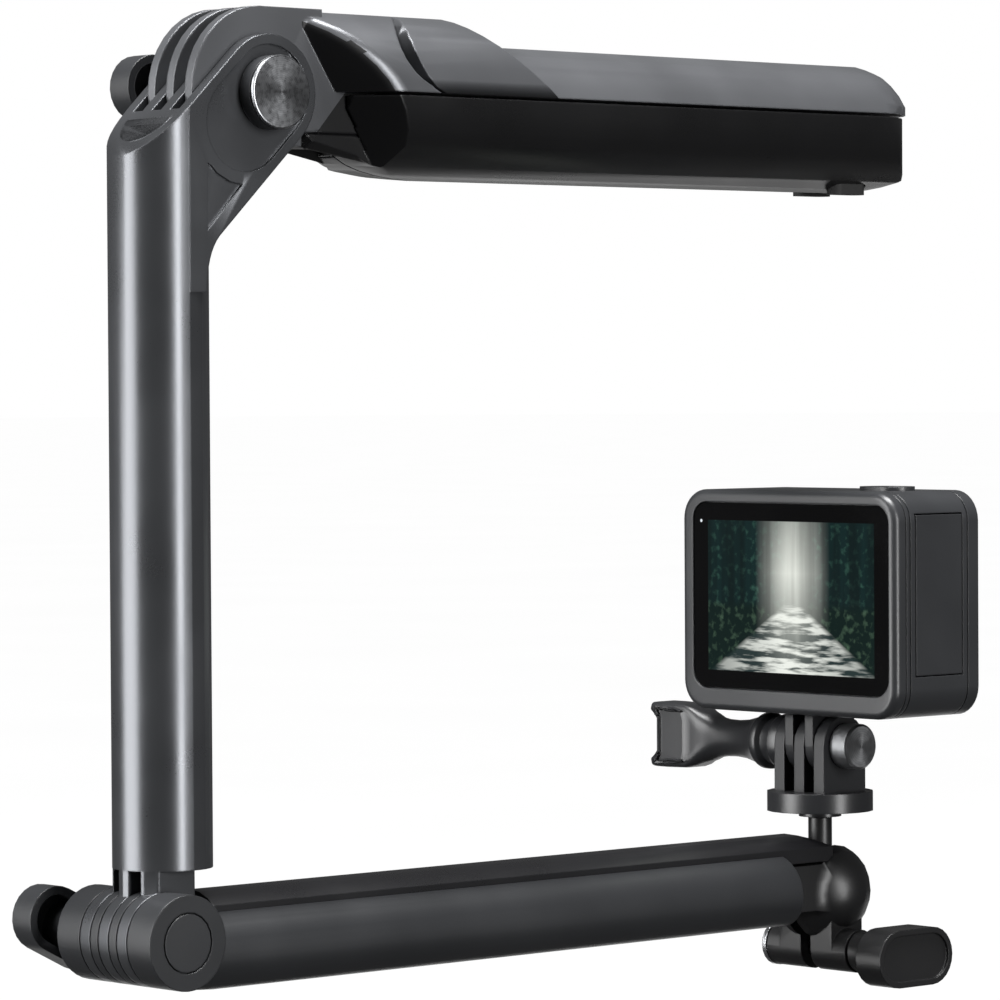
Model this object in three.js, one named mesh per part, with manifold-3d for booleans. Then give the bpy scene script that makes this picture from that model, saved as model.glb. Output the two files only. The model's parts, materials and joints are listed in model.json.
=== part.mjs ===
// Folding three-section hand grip that opens into a tripod, with a ball head and an action camera.
// Millimetres, +Z up. The origin is the middle of the round grip, on its axis.
// +X runs along the folded grip from the upper hinge to its tip, and Y is the axis of both arm hinges.
import * as THREE from 'three';
import { mergeVertices } from 'three/addons/utils/BufferGeometryUtils.js';
import Module from 'manifold-3d';

// ---------------------------------------------------------------- driving dimensions
const GAP = 0.3;                  // running gap between neighbouring pieces
const GRIP_RADIUS = 16.65;        // round section of the folded grip
const GRIP_TO_HINGE = 104;        // grip middle back to the upper hinge axis
const GRIP_RISE = 0.6;            // grip axis above the upper hinge axis
const GRIP_TIP = 185;             // upper hinge to the tip of the lower legs
const TIP_OVERHANG = 1;           // top leg's lip beyond the lower legs
const TIP_ROUND = 19.5;           // length of the rounded end, seen from above
const ARM_SETBACK = 26;           // lower hinge behind the upper hinge
const ARM_DROP = 165.4;           // lower hinge below the upper hinge
const TUBE_RADIUS = 9.9;          // round middle arm
const TUBE_BORE = 7.7;
const TUBE_OFFSET = 5.5;          // middle arm axis in front of the lower hinge axis
const PITCH = 5.8;                // spacing of the interleaved hinge fingers
const UPPER_RIB = 2.3;            // thickness of each grip rib in the upper hinge
const UPPER_RIB_RADIUS = 17.3;
const BRACKET_ANGLE = THREE.MathUtils.degToRad(43.5);   // slope of the upper bracket
const BRACKET_RADIUS = 11.6;      // round end of the upper bracket
const BRACKET_HALF = 10;          // half width of the upper bracket
const HINGE_RADIUS = 9.4;         // lower hinge drum
const HINGE_HALF = 14.7;
const FINGER = 2.95;              // middle arm fingers in the lower hinge
const BOLT_RADIUS = 3;
const KNOB_LENGTH = 23.5;         // oval tightening knobs
const KNOB_HEIGHT = 13.2;
const KNOB_TILT = THREE.MathUtils.degToRad(27);
const ARM_END = 171;              // lower arm shell's end
const COVER_END = 187;
const BALL_X = 190.5;             // ball and stem, in front of the lower hinge
const BALL_Z = -4.6;
const BALL_RADIUS = 6;
const SOCKET_RADIUS = 11.2;
const CLAMP_Z = -17.3;            // clamp bolt axis
const STEM_RADIUS = 2.65;
const DISC_RADIUS = 11.8;         // round plate under the mount prongs
const DISC_TOP = 17.4;
const SCREW_Z = 27.7;             // thumb-screw axis
const PRONG_PITCH = 6.05;
const PRONG = 3;
const PRONG_RADIUS = 6.6;
const CAMERA_BACK = 180.1;
const CAMERA_FRONT = 207.4;
const CAMERA_BASE = 34.7;
const CAMERA_TOP = 83.9;
const CAMERA_HALF = 32.8;
const LEG_PIVOT = { x: 43.4, z: 8.9, radius: 9 };      // top leg's pin and root rounding
const LOWER_PIVOT = { x: 14.5, reach: 8.5 };           // lower legs' pins, out from the grip axis
const LOWER_SPREAD = THREE.MathUtils.degToRad(30);     // lower legs' swing planes off the vertical

// ---------------------------------------------------------------- solids
const wasm = await Module();
wasm.setup();

function toSolid(geometry) {
  const plain = geometry.index ? geometry.toNonIndexed() : geometry.clone();
  plain.deleteAttribute('normal');
  plain.deleteAttribute('uv');
  const welded = mergeVertices(plain, 1e-4);
  const corners = welded.index.array;
  const faces = [];
  for (let i = 0; i < corners.length; i += 3) {
    const [a, b, c] = [corners[i], corners[i + 1], corners[i + 2]];
    if (a !== b && b !== c && c !== a) faces.push(a, b, c);
  }
  const mesh = new wasm.Mesh({
    numProp: 3,
    vertProperties: new Float32Array(welded.attributes.position.array),
    triVerts: new Uint32Array(faces),
  });
  return new wasm.Manifold(mesh);
}

function toGeometry(solid) {
  const mesh = solid.getMesh();
  const geometry = new THREE.BufferGeometry();
  geometry.setAttribute('position', new THREE.BufferAttribute(new Float32Array(mesh.vertProperties), 3));
  geometry.setIndex(new THREE.BufferAttribute(new Uint32Array(mesh.triVerts), 1));
  return geometry;
}

const join = (first, ...rest) => rest.reduce((sum, next) => sum.add(next), first);
const cut = (first, ...rest) => rest.reduce((left, next) => left.subtract(next), first);

function block(x0, x1, y0, y1, z0, z1) {
  const box = new THREE.BoxGeometry(x1 - x0, y1 - y0, z1 - z0);
  return toSolid(box.translate((x0 + x1) / 2, (y0 + y1) / 2, (z0 + z1) / 2));
}

// Round bars along each axis. Cones take two radii, the first at the low end.
function barY(radius, y0, y1, x = 0, z = 0, sides = 20, endRadius = radius) {
  const bar = new THREE.CylinderGeometry(endRadius, radius, y1 - y0, sides);
  return toSolid(bar.translate(x, (y0 + y1) / 2, z));
}

function barX(radius, x0, x1, y = 0, z = 0, sides = 20) {
  const bar = new THREE.CylinderGeometry(radius, radius, x1 - x0, sides).rotateZ(-Math.PI / 2);
  return toSolid(bar.translate((x0 + x1) / 2, y, z));
}

function barZ(radius, z0, z1, x = 0, y = 0, sides = 20, endRadius = radius) {
  const bar = new THREE.CylinderGeometry(endRadius, radius, z1 - z0, sides).rotateX(Math.PI / 2);
  return toSolid(bar.translate(x, y, (z0 + z1) / 2));
}

function ball(radius, x, y, z, sides = 20) {
  return toSolid(new THREE.SphereGeometry(radius, sides, sides / 2).translate(x, y, z));
}

// Flat outlines made thick: drawn in X and Z, in Y and Z, or in X and Y.
function outline(points) {
  return new THREE.Shape(points.map(([u, v]) => new THREE.Vector2(u, v)));
}

const plain = (depth, curveSegments) => ({ depth, bevelEnabled: false, curveSegments });

function plateXZ(shape, y0, y1, curveSegments = 6) {
  const plate = new THREE.ExtrudeGeometry(shape, plain(y1 - y0, curveSegments)).rotateX(Math.PI / 2);
  return toSolid(plate.translate(0, y1, 0));
}

function plateYZ(shape, x0, x1, curveSegments = 6) {
  const plate = new THREE.ExtrudeGeometry(shape, plain(x1 - x0, curveSegments));
  const turn = new THREE.Matrix4().makeBasis(
    new THREE.Vector3(0, 1, 0), new THREE.Vector3(0, 0, 1), new THREE.Vector3(1, 0, 0));
  return toSolid(plate.applyMatrix4(turn).translate(x0, 0, 0));
}

function plateXY(shape, z0, z1, curveSegments = 6) {
  return toSolid(new THREE.ExtrudeGeometry(shape, plain(z1 - z0, curveSegments)).translate(0, 0, z0));
}

function roundedRectangle(u0, u1, v0, v1, radius) {
  const shape = new THREE.Shape();
  shape.moveTo(u0 + radius, v0);
  shape.lineTo(u1 - radius, v0);
  shape.absarc(u1 - radius, v0 + radius, radius, -Math.PI / 2, 0);
  shape.lineTo(u1, v1 - radius);
  shape.absarc(u1 - radius, v1 - radius, radius, 0, Math.PI / 2);
  shape.lineTo(u0 + radius, v1);
  shape.absarc(u0 + radius, v1 - radius, radius, Math.PI / 2, Math.PI);
  shape.lineTo(u0, v0 + radius);
  shape.absarc(u0 + radius, v0 + radius, radius, Math.PI, Math.PI * 1.5);
  return shape;
}

// A straight-sided oval, its long axis turned by angle in the outline's own plane.
function oval(u, v, length, height, angle = 0) {
  const radius = height / 2;
  const reach = length / 2 - radius;
  const shape = new THREE.Shape();
  const end = [reach * Math.cos(angle), reach * Math.sin(angle)];
  shape.absarc(u + end[0], v + end[1], radius, angle - Math.PI / 2, angle + Math.PI / 2);
  shape.absarc(u - end[0], v - end[1], radius, angle + Math.PI / 2, angle + Math.PI * 1.5);
  return shape;
}

// Everything on the far side of a plane through a point, as one large block.
function halfSpace(point, normal) {
  const size = 400;
  const slab = new THREE.BoxGeometry(size, size, size).translate(0, 0, size / 2);
  const turn = new THREE.Quaternion().setFromUnitVectors(
    new THREE.Vector3(0, 0, 1), normal.clone().normalize());
  return toSolid(slab.applyQuaternion(turn).translate(point.x, point.y, point.z));
}

// ---------------------------------------------------------------- finishes
function finish(colour, roughness, metalness) {
  return { color: colour, roughness, metalness };
}

const SATIN_GREY = finish(0x4a4c50, 0.38, 0.8);
const LIGHT_GREY = finish(0x6c6f73, 0.4, 0.6);
const BLACK_PLASTIC = finish(0x1b1c1e, 0.45, 0.1);
const DARK_PLASTIC = finish(0x2a2b2e, 0.42, 0.2);
const BRIGHT_METAL = finish(0xa9acb1, 0.3, 0.9);
const STEEL = finish(0x8a8d91, 0.3, 1);
const BRASS = finish(0xb08d4a, 0.35, 1);
const RUBBER = finish(0x141415, 0.85, 0);
const GLASS = finish(0x08090a, 0.06, 0);
const PICTURE = finish(0x24423c, 0.3, 0);
const BOARD = finish(0x1d4a33, 0.6, 0);

function addPart(group, name, solid, look) {
  const mesh = new THREE.Mesh(toGeometry(solid), new THREE.MeshStandardMaterial(look));
  mesh.name = name;
  group.add(mesh);
  return mesh;
}

// ---------------------------------------------------------------- grip hub and tripod legs
// Drawn from the upper hinge axis in X and from the grip axis in Z.
const hingeZ = -GRIP_RISE;
const cheekHalf = PITCH + UPPER_RIB / 2;      // flat cheeks either side of the ribs
const cheekBottom = -10.8;
const seamZ = 0.35;                            // half the slit between the top and lower legs
const cheekCorner = new THREE.Vector3(10.1, -cheekHalf, 14.1);
const cheekNormal = new THREE.Vector3(-240, -213, -159);
const fingerClearance = BRACKET_RADIUS + GAP + 0.15;
const foldedIn = THREE.MathUtils.degToRad(-10);          // upper hinge's limits, from the drawn pose
const straight = THREE.MathUtils.degToRad(90);

const mirrored = (vector) => new THREE.Vector3(vector.x, -vector.y, vector.z);

// The slanted cuts that run from each flat cheek out to the round grip.
function cheekCuts() {
  const front = halfSpace(cheekCorner, cheekNormal).intersect(block(-60, 90, -40, -cheekHalf, -40, 40));
  const back = halfSpace(mirrored(cheekCorner), mirrored(cheekNormal))
    .intersect(block(-60, 90, cheekHalf, 40, -40, 40));
  return front.add(back);
}

// The grip's underside sweeps up towards the hinge.
function undersideShape(top) {
  const shape = new THREE.Shape();
  shape.moveTo(-20, top);
  shape.lineTo(-20, cheekBottom);
  shape.lineTo(23, cheekBottom);
  shape.quadraticCurveTo(28, -16, 46, -GRIP_RADIUS - 0.1);
  shape.lineTo(GRIP_TIP + 30, -GRIP_RADIUS - 0.1);
  shape.lineTo(GRIP_TIP + 30, top);
  return shape;
}

// The legs' rounded ends, seen from above.
function tipPlan(tip) {
  const shape = new THREE.Shape();
  shape.moveTo(0, -20);
  shape.lineTo(tip - TIP_ROUND, -20);
  shape.lineTo(tip - TIP_ROUND, -GRIP_RADIUS);
  shape.absellipse(tip - TIP_ROUND, 0, TIP_ROUND, GRIP_RADIUS, -Math.PI / 2, Math.PI / 2);
  shape.lineTo(tip - TIP_ROUND, 20);
  shape.lineTo(0, 20);
  return plateXY(shape, -20, 20, 9);
}

const coreHalf = cheekHalf;                    // hub tongue inside the legs
const lugHalf = 2.7;                           // top leg's lug
const forkHalf = 6;
const lowerLugHalf = 1.7;
const pinRadius = 1.4;

// A solid drawn with X along the grip, Y across the swing plane and Z inwards, moved to that plane.
function toLowerPlane(shape, halfWidth, side) {
  const geometry = new THREE.ExtrudeGeometry(shape, plain(2 * halfWidth, 5)).rotateX(Math.PI / 2);
  geometry.translate(0, halfWidth, 0);
  return toSolid(geometry.rotateX(side * LOWER_SPREAD));
}

function disc(u, v, radius) {
  const shape = new THREE.Shape();
  shape.absarc(u, v, radius, 0, Math.PI * 2);
  return shape;
}

function lowerLugSlot(side) {
  const { x, reach } = LOWER_PIVOT;
  const slot = outline([[x - 4.1, -reach], [x - 4.1, -30], [30, -30], [30, -reach + 3.9], [x, -reach + 3.9]]);
  const round = disc(x, -reach, 4.1);
  const half = lowerLugHalf + GAP;
  return toLowerPlane(slot, half, side).add(toLowerPlane(round, half, side));
}

// A pin's bar, reaching further inwards than outwards.
function lowerPinBar(radius, inward, outward, side) {
  const { x, reach } = LOWER_PIVOT;
  const bar = new THREE.CylinderGeometry(radius, radius, inward + outward, 10);
  bar.translate(x, side * (outward - inward) / 2, -reach);
  return toSolid(bar.rotateX(side * LOWER_SPREAD));
}

// The room that the bracket's flat edge sweeps, between the ribs, when turned by angle: 1 above, -1 below.
function bracketRoom(angle, edge) {
  const turned = BRACKET_ANGLE - angle;
  const lengthwise = new THREE.Vector3(Math.cos(turned), 0, Math.sin(turned));
  const outward = new THREE.Vector3(-Math.sin(turned) * edge, 0, Math.cos(turned) * edge);
  const hinge = new THREE.Vector3(0, 0, hingeZ);
  const face = outward.clone().multiplyScalar(BRACKET_RADIUS + 0.5).add(hinge);
  return halfSpace(face, outward.negate()).intersect(halfSpace(hinge, lengthwise.negate()));
}

function makeHub() {
  const lens = new THREE.Shape();
  lens.absellipse(LEG_PIVOT.x - 0.5, LEG_PIVOT.z, 12, 8.3, Math.PI / 2, Math.PI * 1.5);
  const ribs = [-PITCH, 0, PITCH].map((y) => {
    const y0 = y - UPPER_RIB / 2;
    const y1 = y + UPPER_RIB / 2;
    const round = barY(UPPER_RIB_RADIUS, y0, y1, 0, hingeZ, 36);
    const web = block(0, 16, y0, y1, cheekBottom, GRIP_RADIUS);
    const low = block(0, 30, y0 - 1, y1 + 1, -40, cheekBottom);
    return cut(round.add(web), low);
  });
  const upper = cut(
    barX(GRIP_RADIUS, 4, 60, 0, 0, 36).intersect(block(0, 60, -20, 20, seamZ, 20)),
    barY(9.4, -20, 20, LEG_PIVOT.x - 0.5, LEG_PIVOT.z, 20),
    plateXZ(lens, -20, 20, 8),
    block(LEG_PIVOT.x - 0.5, 70, -20, 20, -20, 20),
  );
  const core = block(4, 30, -coreHalf, coreHalf, cheekBottom + 0.4, seamZ);
  const tongue = block(20, LEG_PIVOT.x + 5, -forkHalf, forkHalf, -5.5, -0.6);
  const cheekBlock = block(4, 22, -cheekHalf, cheekHalf, cheekBottom, GRIP_RADIUS)
    .intersect(barX(GRIP_RADIUS, 0, 30, 0, 0, 20));
  const forks = [-1, 1].map((side) => {
    const y0 = side > 0 ? lugHalf + GAP : -forkHalf;
    const y1 = side > 0 ? forkHalf : -lugHalf - GAP;
    const foot = block(LEG_PIVOT.x - 4.2, LEG_PIVOT.x + 4.2, y0, y1, -1, LEG_PIVOT.z);
    return foot.add(barY(4.2, y0, y1, LEG_PIVOT.x, LEG_PIVOT.z, 20));
  });
  const body = cut(join(upper, core, tongue, cheekBlock), barY(fingerClearance, -30, 30, 0, hingeZ, 36),
    cheekCuts(), bracketRoom(foldedIn, -1), bracketRoom(straight, 1));
  return cut(
    join(body, ...ribs, ...forks),
    barY(BOLT_RADIUS + GAP, -30, 30, 0, hingeZ, 24),
    barY(pinRadius + GAP, -forkHalf - 0.2, forkHalf + 0.2, LEG_PIVOT.x, LEG_PIVOT.z, 10),
    lowerLugSlot(-1), lowerLugSlot(1),
    lowerPinBar(pinRadius + GAP, 3.3, 2.15, -1), lowerPinBar(pinRadius + GAP, 3.3, 2.15, 1),
  );
}

// Top leg: a half-round shell with a step down past its root, and a domed tip.
function makeTopLeg() {
  const tip = GRIP_TIP + TIP_OVERHANG;
  const lowRadius = 17.4;
  const low = barX(lowRadius, 50, tip, 0, 11.5 - lowRadius, 36);
  const root = cut(barX(GRIP_RADIUS, 30, 80, 0, 0, 36),
    halfSpace(new THREE.Vector3(51, 0, GRIP_RADIUS), new THREE.Vector3(0.62, 0, 0.78)));
  const outer = root.add(low.intersect(barX(GRIP_RADIUS, 40, tip + 1, 0, 0, 36)))
    .intersect(block(0, tip + 1, -20, 20, seamZ, 20));
  const profile = new THREE.Shape();
  profile.moveTo(0, -5);
  profile.lineTo(0, 20);
  profile.lineTo(tip - 11.5, 20);
  profile.lineTo(tip - 11.5, 11.5);
  profile.absellipse(tip - 11.5, 0, 11.5, 11.5, Math.PI / 2, 0, true);
  profile.lineTo(tip, -5);
  const rootRound = barY(LEG_PIVOT.radius, -20, 20, LEG_PIVOT.x, LEG_PIVOT.z, 20);
  const shaped = outer.intersect(plateXZ(profile, -20, 20, 6)).intersect(tipPlan(tip))
    .intersect(rootRound.add(block(LEG_PIVOT.x, tip + 1, -20, 20, -5, 30)));
  const hollow = join(
    barX(9.4, LEG_PIVOT.x + 12, tip - 12, 0, -1, 20),
    block(30, LEG_PIVOT.x + 13, -forkHalf - GAP, forkHalf + GAP, -2, LEG_PIVOT.z + 4.7),
  );
  const lug = join(
    barY(4.2, -lugHalf, lugHalf, LEG_PIVOT.x, LEG_PIVOT.z, 20),
    block(LEG_PIVOT.x - 2, LEG_PIVOT.x + 15, -lugHalf, lugHalf, LEG_PIVOT.z - 2.5, LEG_PIVOT.z + 5),
  );
  return cut(join(cut(shaped, hollow), lug),
    barY(pinRadius + GAP, -forkHalf - 0.2, forkHalf + 0.2, LEG_PIVOT.x, LEG_PIVOT.z, 10));
}

// Lower legs: each is a quarter of the grip with a flat side, a bevel and a shallow round underside.
function lowerSection(side) {
  const inner = 0.2;
  const points = [[inner, -GRIP_RADIUS], [4.6, -16], [8.6, -14.3], [13.5, -10.4], [15.3, -7.2],
    [16.3, -3.4], [16.6, -seamZ], [inner, -seamZ]];
  const turned = side > 0 ? points : points.map(([y, z]) => [-y, z]);
  return outline(turned);
}

function makeLowerLeg(side) {
  const full = plateYZ(lowerSection(side), 12, GRIP_TIP);
  const tipProfile = new THREE.Shape();
  tipProfile.moveTo(0, 5);
  tipProfile.lineTo(0, -20);
  tipProfile.lineTo(GRIP_TIP - 15, -20);
  tipProfile.lineTo(GRIP_TIP - 15, -GRIP_RADIUS);
  tipProfile.quadraticCurveTo(GRIP_TIP, -GRIP_RADIUS + 1, GRIP_TIP, -9);
  tipProfile.quadraticCurveTo(GRIP_TIP, -4, GRIP_TIP - 3.5, -seamZ);
  tipProfile.lineTo(GRIP_TIP - 4, 5);
  const start = block(24.6, 300, -20, 20, -40, cheekBottom - GAP)
    .add(block(22, 300, -20, 20, cheekBottom - GAP, 0));
  const shaped = cut(
    full.intersect(plateXZ(undersideShape(5), -20, 20)).intersect(plateXZ(tipProfile, -20, 20))
      .intersect(tipPlan(GRIP_TIP)),
    cheekCuts(),
  ).intersect(start);
  const hollow = join(
    block(0, 31, -cheekHalf - GAP, cheekHalf + GAP, cheekBottom - GAP, 5),
    block(0, LEG_PIVOT.x + 6, -forkHalf - 1.5, forkHalf + 1.5, -6.5, 5),
    barX(9.4, LEG_PIVOT.x + 4, GRIP_TIP - 14, 0, -1, 20),
  );
  const { x, reach } = LOWER_PIVOT;
  const arm = outline([[x - 1.5, -reach - 3.2], [x + 1.5, -reach + 3.2], [27, -reach - 1.2], [27, -14.5]]);
  const lug = toLowerPlane(disc(x, -reach, 3.6), lowerLugHalf, side)
    .add(toLowerPlane(arm, lowerLugHalf, side))
    .intersect(block(0, 60, -cheekHalf, cheekHalf, -14, 0));
  return cut(join(cut(shaped, hollow), lug), lowerPinBar(pinRadius + GAP, 10, 10, side), makePad(side, GAP));
}

// A small rubber pad let into each lower leg near its tip; grow widens it into its pocket.
function makePad(side, grow = 0) {
  const shape = oval(GRIP_TIP - 17, side * 5.2, 10 + 2 * grow, 4 + 2 * grow);
  return plateXY(shape, -GRIP_RADIUS - 0.5, -GRIP_RADIUS + 2.6 + grow, 6);
}

// ---------------------------------------------------------------- middle arm
// Drawn from the lower hinge axis.
const along = { x: Math.cos(BRACKET_ANGLE), z: Math.sin(BRACKET_ANGLE) };
const over = { x: -along.z, z: along.x };      // up and back, square to the bracket

// A point measured from the upper hinge: forward along the bracket, then out towards its sloping face.
function bracketPoint(forward, outward) {
  return [ARM_SETBACK + forward * along.x + outward * over.x,
    ARM_DROP + forward * along.z + outward * over.z];
}

function bracketShape() {
  const shape = new THREE.Shape();
  const slope = (x) => {
    const [x0, z0] = bracketPoint(0, BRACKET_RADIUS);
    return z0 + (x - x0) * Math.tan(BRACKET_ANGLE);
  };
  const foot = 9.7;                            // lowest point, close to the tube's side
  const [lowX, lowZ] = bracketPoint(-29, -BRACKET_RADIUS);
  shape.moveTo(TUBE_OFFSET, 126);
  shape.lineTo(foot, 126);
  shape.quadraticCurveTo(foot, 133.5, lowX, lowZ);
  shape.lineTo(...bracketPoint(0, -BRACKET_RADIUS));
  shape.absarc(ARM_SETBACK, ARM_DROP, BRACKET_RADIUS, BRACKET_ANGLE - Math.PI / 2,
    BRACKET_ANGLE + Math.PI / 2);
  shape.lineTo(TUBE_OFFSET, slope(TUBE_OFFSET));
  return shape;
}

function makeMiddleArm() {
  const slopeNormal = new THREE.Vector3(over.x, 0, over.z);
  const [faceX, faceZ] = bracketPoint(0, BRACKET_RADIUS);
  const slopeFace = new THREE.Vector3(faceX, 0, faceZ);
  const tubeFoot = 13.4;
  const tube = cut(barZ(TUBE_RADIUS, tubeFoot, 178, TUBE_OFFSET, 0, 36), halfSpace(slopeFace, slopeNormal));
  const bracket = plateXZ(bracketShape(), -BRACKET_HALF, BRACKET_HALF, 8);
  const web = barZ(TUBE_RADIUS, 0, tubeFoot + 1, TUBE_OFFSET, 0, 24).intersect(block(-9, 7.7, -20, 20, 0, 20));
  const fingers = [-PITCH, 0, PITCH].map((y) => {
    const slab = block(-20, 20, y - FINGER / 2, y + FINGER / 2, -20, 20);
    return web.intersect(slab).add(barY(HINGE_RADIUS, y - FINGER / 2, y + FINGER / 2, 0, 0, 36));
  });
  const slots = [-PITCH, 0, PITCH].map((y) => {
    const half = UPPER_RIB / 2 + GAP;
    const trough = outline([bracketPoint(-17.5, BRACKET_RADIUS + 3), bracketPoint(-17.5, BRACKET_RADIUS - 5),
      bracketPoint(-10, 0), bracketPoint(20, 0), bracketPoint(20, BRACKET_RADIUS + 3)]);
    return plateXZ(trough, y - half, y + half)
      .add(barY(UPPER_RIB_RADIUS + GAP, y - half, y + half, ARM_SETBACK, ARM_DROP, 20));
  });
  const boltHole = barY(BOLT_RADIUS + GAP, -30, 30, ARM_SETBACK, ARM_DROP, 24);
  const lowerHole = barY(BOLT_RADIUS + GAP, -30, 30, 0, 0, 24);
  const recess = [-1, 1].map((side) => {
    const y0 = side > 0 ? BRACKET_HALF - 0.8 : -BRACKET_HALF - 2;
    const y1 = side > 0 ? BRACKET_HALF + 2 : -BRACKET_HALF + 0.8;
    const [u, v] = bracketPoint(-4.45, 0);
    const round = plateXZ(oval(u, v, 28.1, 19.2, BRACKET_ANGLE), y0, y1, 6);
    const corner = cut(plateXZ(outline([[10.1, 151.2], [10, 137.9], [18.9, 147.1]]), y0, y1),
      barY(12.2, -30, 30, ...bracketPoint(-8.9, 0), 20));
    return round.add(corner);
  });
  return cut(
    join(tube, bracket, ...fingers), boltHole, lowerHole, ...slots, ...recess, slopePocket(),
    barZ(TUBE_BORE, 20, 124, TUBE_OFFSET, 0, 20),
    barZ(1.2, 10, 21, TUBE_OFFSET - 4, PITCH / 2, 12),
  );
}

// The shallow half-round pocket in the sloping face, below the slots.
function slopePocket() {
  const flatEdge = -19.8;
  const depth = 2.2;
  const shape = new THREE.Shape();
  shape.moveTo(flatEdge, -6.8);
  shape.lineTo(flatEdge, 6.8);
  shape.absellipse(flatEdge, 0, 6.9, 6.8, Math.PI / 2, Math.PI * 1.5);
  const pocket = new THREE.ExtrudeGeometry(shape, plain(depth + 3, 16)).translate(0, 0, BRACKET_RADIUS - depth);
  const turn = new THREE.Matrix4().makeBasis(
    new THREE.Vector3(along.x, 0, along.z), new THREE.Vector3(0, -1, 0), new THREE.Vector3(over.x, 0, over.z));
  return toSolid(pocket.applyMatrix4(turn).translate(ARM_SETBACK, 0, ARM_DROP));
}

// ---------------------------------------------------------------- knobs
// An oval knob on the far side of a hinge, hollow towards the hinge, round a threaded boss.
function makeKnob() {
  const inner = 21;
  const outer = 27;
  const wall = 1.7;
  const rim = plateXZ(oval(0, 0, KNOB_LENGTH, KNOB_HEIGHT, -KNOB_TILT), inner, outer, 6);
  const hollow = plateXZ(
    oval(0, 0, KNOB_LENGTH - 2 * wall, KNOB_HEIGHT - 2 * wall, -KNOB_TILT), inner - 1, outer - 1.8, 14);
  const boss = barY(5.2, HINGE_HALF + GAP + 1.2, outer - 1, 0, 0, 20);
  return cut(join(cut(rim, hollow), boss), barY(BOLT_RADIUS + 1, 0, outer - 2.2, 0, 0, 24));
}

function makeKnobNut() {
  return cut(barY(BOLT_RADIUS + 1 - GAP, HINGE_HALF + 3, 24.4, 0, 0, 6), barY(2.55, 0, 40, 0, 0, 10));
}

const makeWasher = (y0, y1) => cut(barY(6.4, y0, y1, 0, 0, 20), barY(BOLT_RADIUS + GAP, -40, 40, 0, 0, 24));

// A hinge bolt whose thin threaded end carries the knob.
function makeHingeBolt(y0, shoulder, y1) {
  return barY(BOLT_RADIUS, y0, shoulder, 0, 0, 24).add(barY(2.25, shoulder - 0.5, y1, 0, 0, 10));
}

// ---------------------------------------------------------------- lower arm
const sideTop = 5;
const shellTopHalf = 7.6;
function armSection(inset) {
  const shape = new THREE.Shape();
  const bottomRadius = 6.5;
  const sideRadius = 9;
  const centreZ = -4;
  const half = 13.9;
  const sweep = Math.acos((shellTopHalf - (half - sideRadius)) / sideRadius);
  shape.moveTo(-(half - bottomRadius), centreZ - bottomRadius + inset);
  shape.lineTo(half - bottomRadius, centreZ - bottomRadius + inset);
  shape.absarc(half - bottomRadius, centreZ, bottomRadius - inset, -Math.PI / 2, 0);
  shape.absarc(half - sideRadius, centreZ, sideRadius - inset, 0, sweep);
  shape.absarc(-(half - sideRadius), centreZ, sideRadius - inset, Math.PI - sweep, Math.PI);
  shape.absarc(-(half - bottomRadius), centreZ, bottomRadius - inset, Math.PI, Math.PI * 1.5);
  return shape;
}

function makeArmShell() {
  const lugs = [
    [-HINGE_HALF, -PITCH - FINGER / 2 - GAP],
    [-PITCH + FINGER / 2 + GAP, -FINGER / 2 - GAP],
    [FINGER / 2 + GAP, PITCH - FINGER / 2 - GAP],
    [PITCH + FINGER / 2 + GAP, HINGE_HALF],
  ].map(([y0, y1]) => barY(HINGE_RADIUS, y0, y1, 0, 0, 36));
  const beam = plateYZ(armSection(0), 0, ARM_END, 4);
  const slots = [-PITCH, 0, PITCH].map((y) => {
    const y0 = y - FINGER / 2 - GAP;
    const y1 = y + FINGER / 2 + GAP;
    return barY(HINGE_RADIUS + GAP, y0, y1, 0, 0, 20).add(block(-1, 9, y0, y1, 0, 20));
  });
  const trough = plateYZ(armSection(2), 15, ARM_END + 5, 4);
  const opening = block(12, ARM_END + 5, -shellTopHalf, shellTopHalf, 2.2, 20);
  const heel = halfSpace(new THREE.Vector3(0, 0, -HINGE_RADIUS), new THREE.Vector3(-0.09, 0, -1));
  return cut(
    join(cut(beam, heel), ...lugs), ...slots, trough, opening,
    barY(BOLT_RADIUS + GAP, -30, 30, 0, 0, 24),
    barY(6, -HINGE_HALF - 1, -HINGE_HALF + 1.1, 0, 0, 20),
  );
}

// The black top cover is a shallow dome that ends as the socket's roof.
function makeArmCover() {
  const domeRadius = 11.2;
  const half = shellTopHalf - GAP;
  const dome = barX(domeRadius, 12.3, COVER_END, 0, 8.6 - domeRadius, 24)
    .intersect(block(0, 300, -half, half, 2.6, 20));
  const profile = new THREE.Shape();
  profile.moveTo(0, 0);
  profile.lineTo(0, 7);
  profile.quadraticCurveTo(12.5, 8.7, 17, 9.5);
  profile.lineTo(COVER_END - 14, 9.5);
  profile.quadraticCurveTo(COVER_END - 6, 9, COVER_END, 5.6);
  profile.lineTo(COVER_END, 0);
  const roof = dome.intersect(plateXZ(profile, -20, 20));
  return cut(roof, ball(SOCKET_RADIUS + GAP, BALL_X, 0, BALL_Z, 28), block(BALL_X - 5.9, 200, -4.6, 4.6, 0, 30));
}

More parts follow.
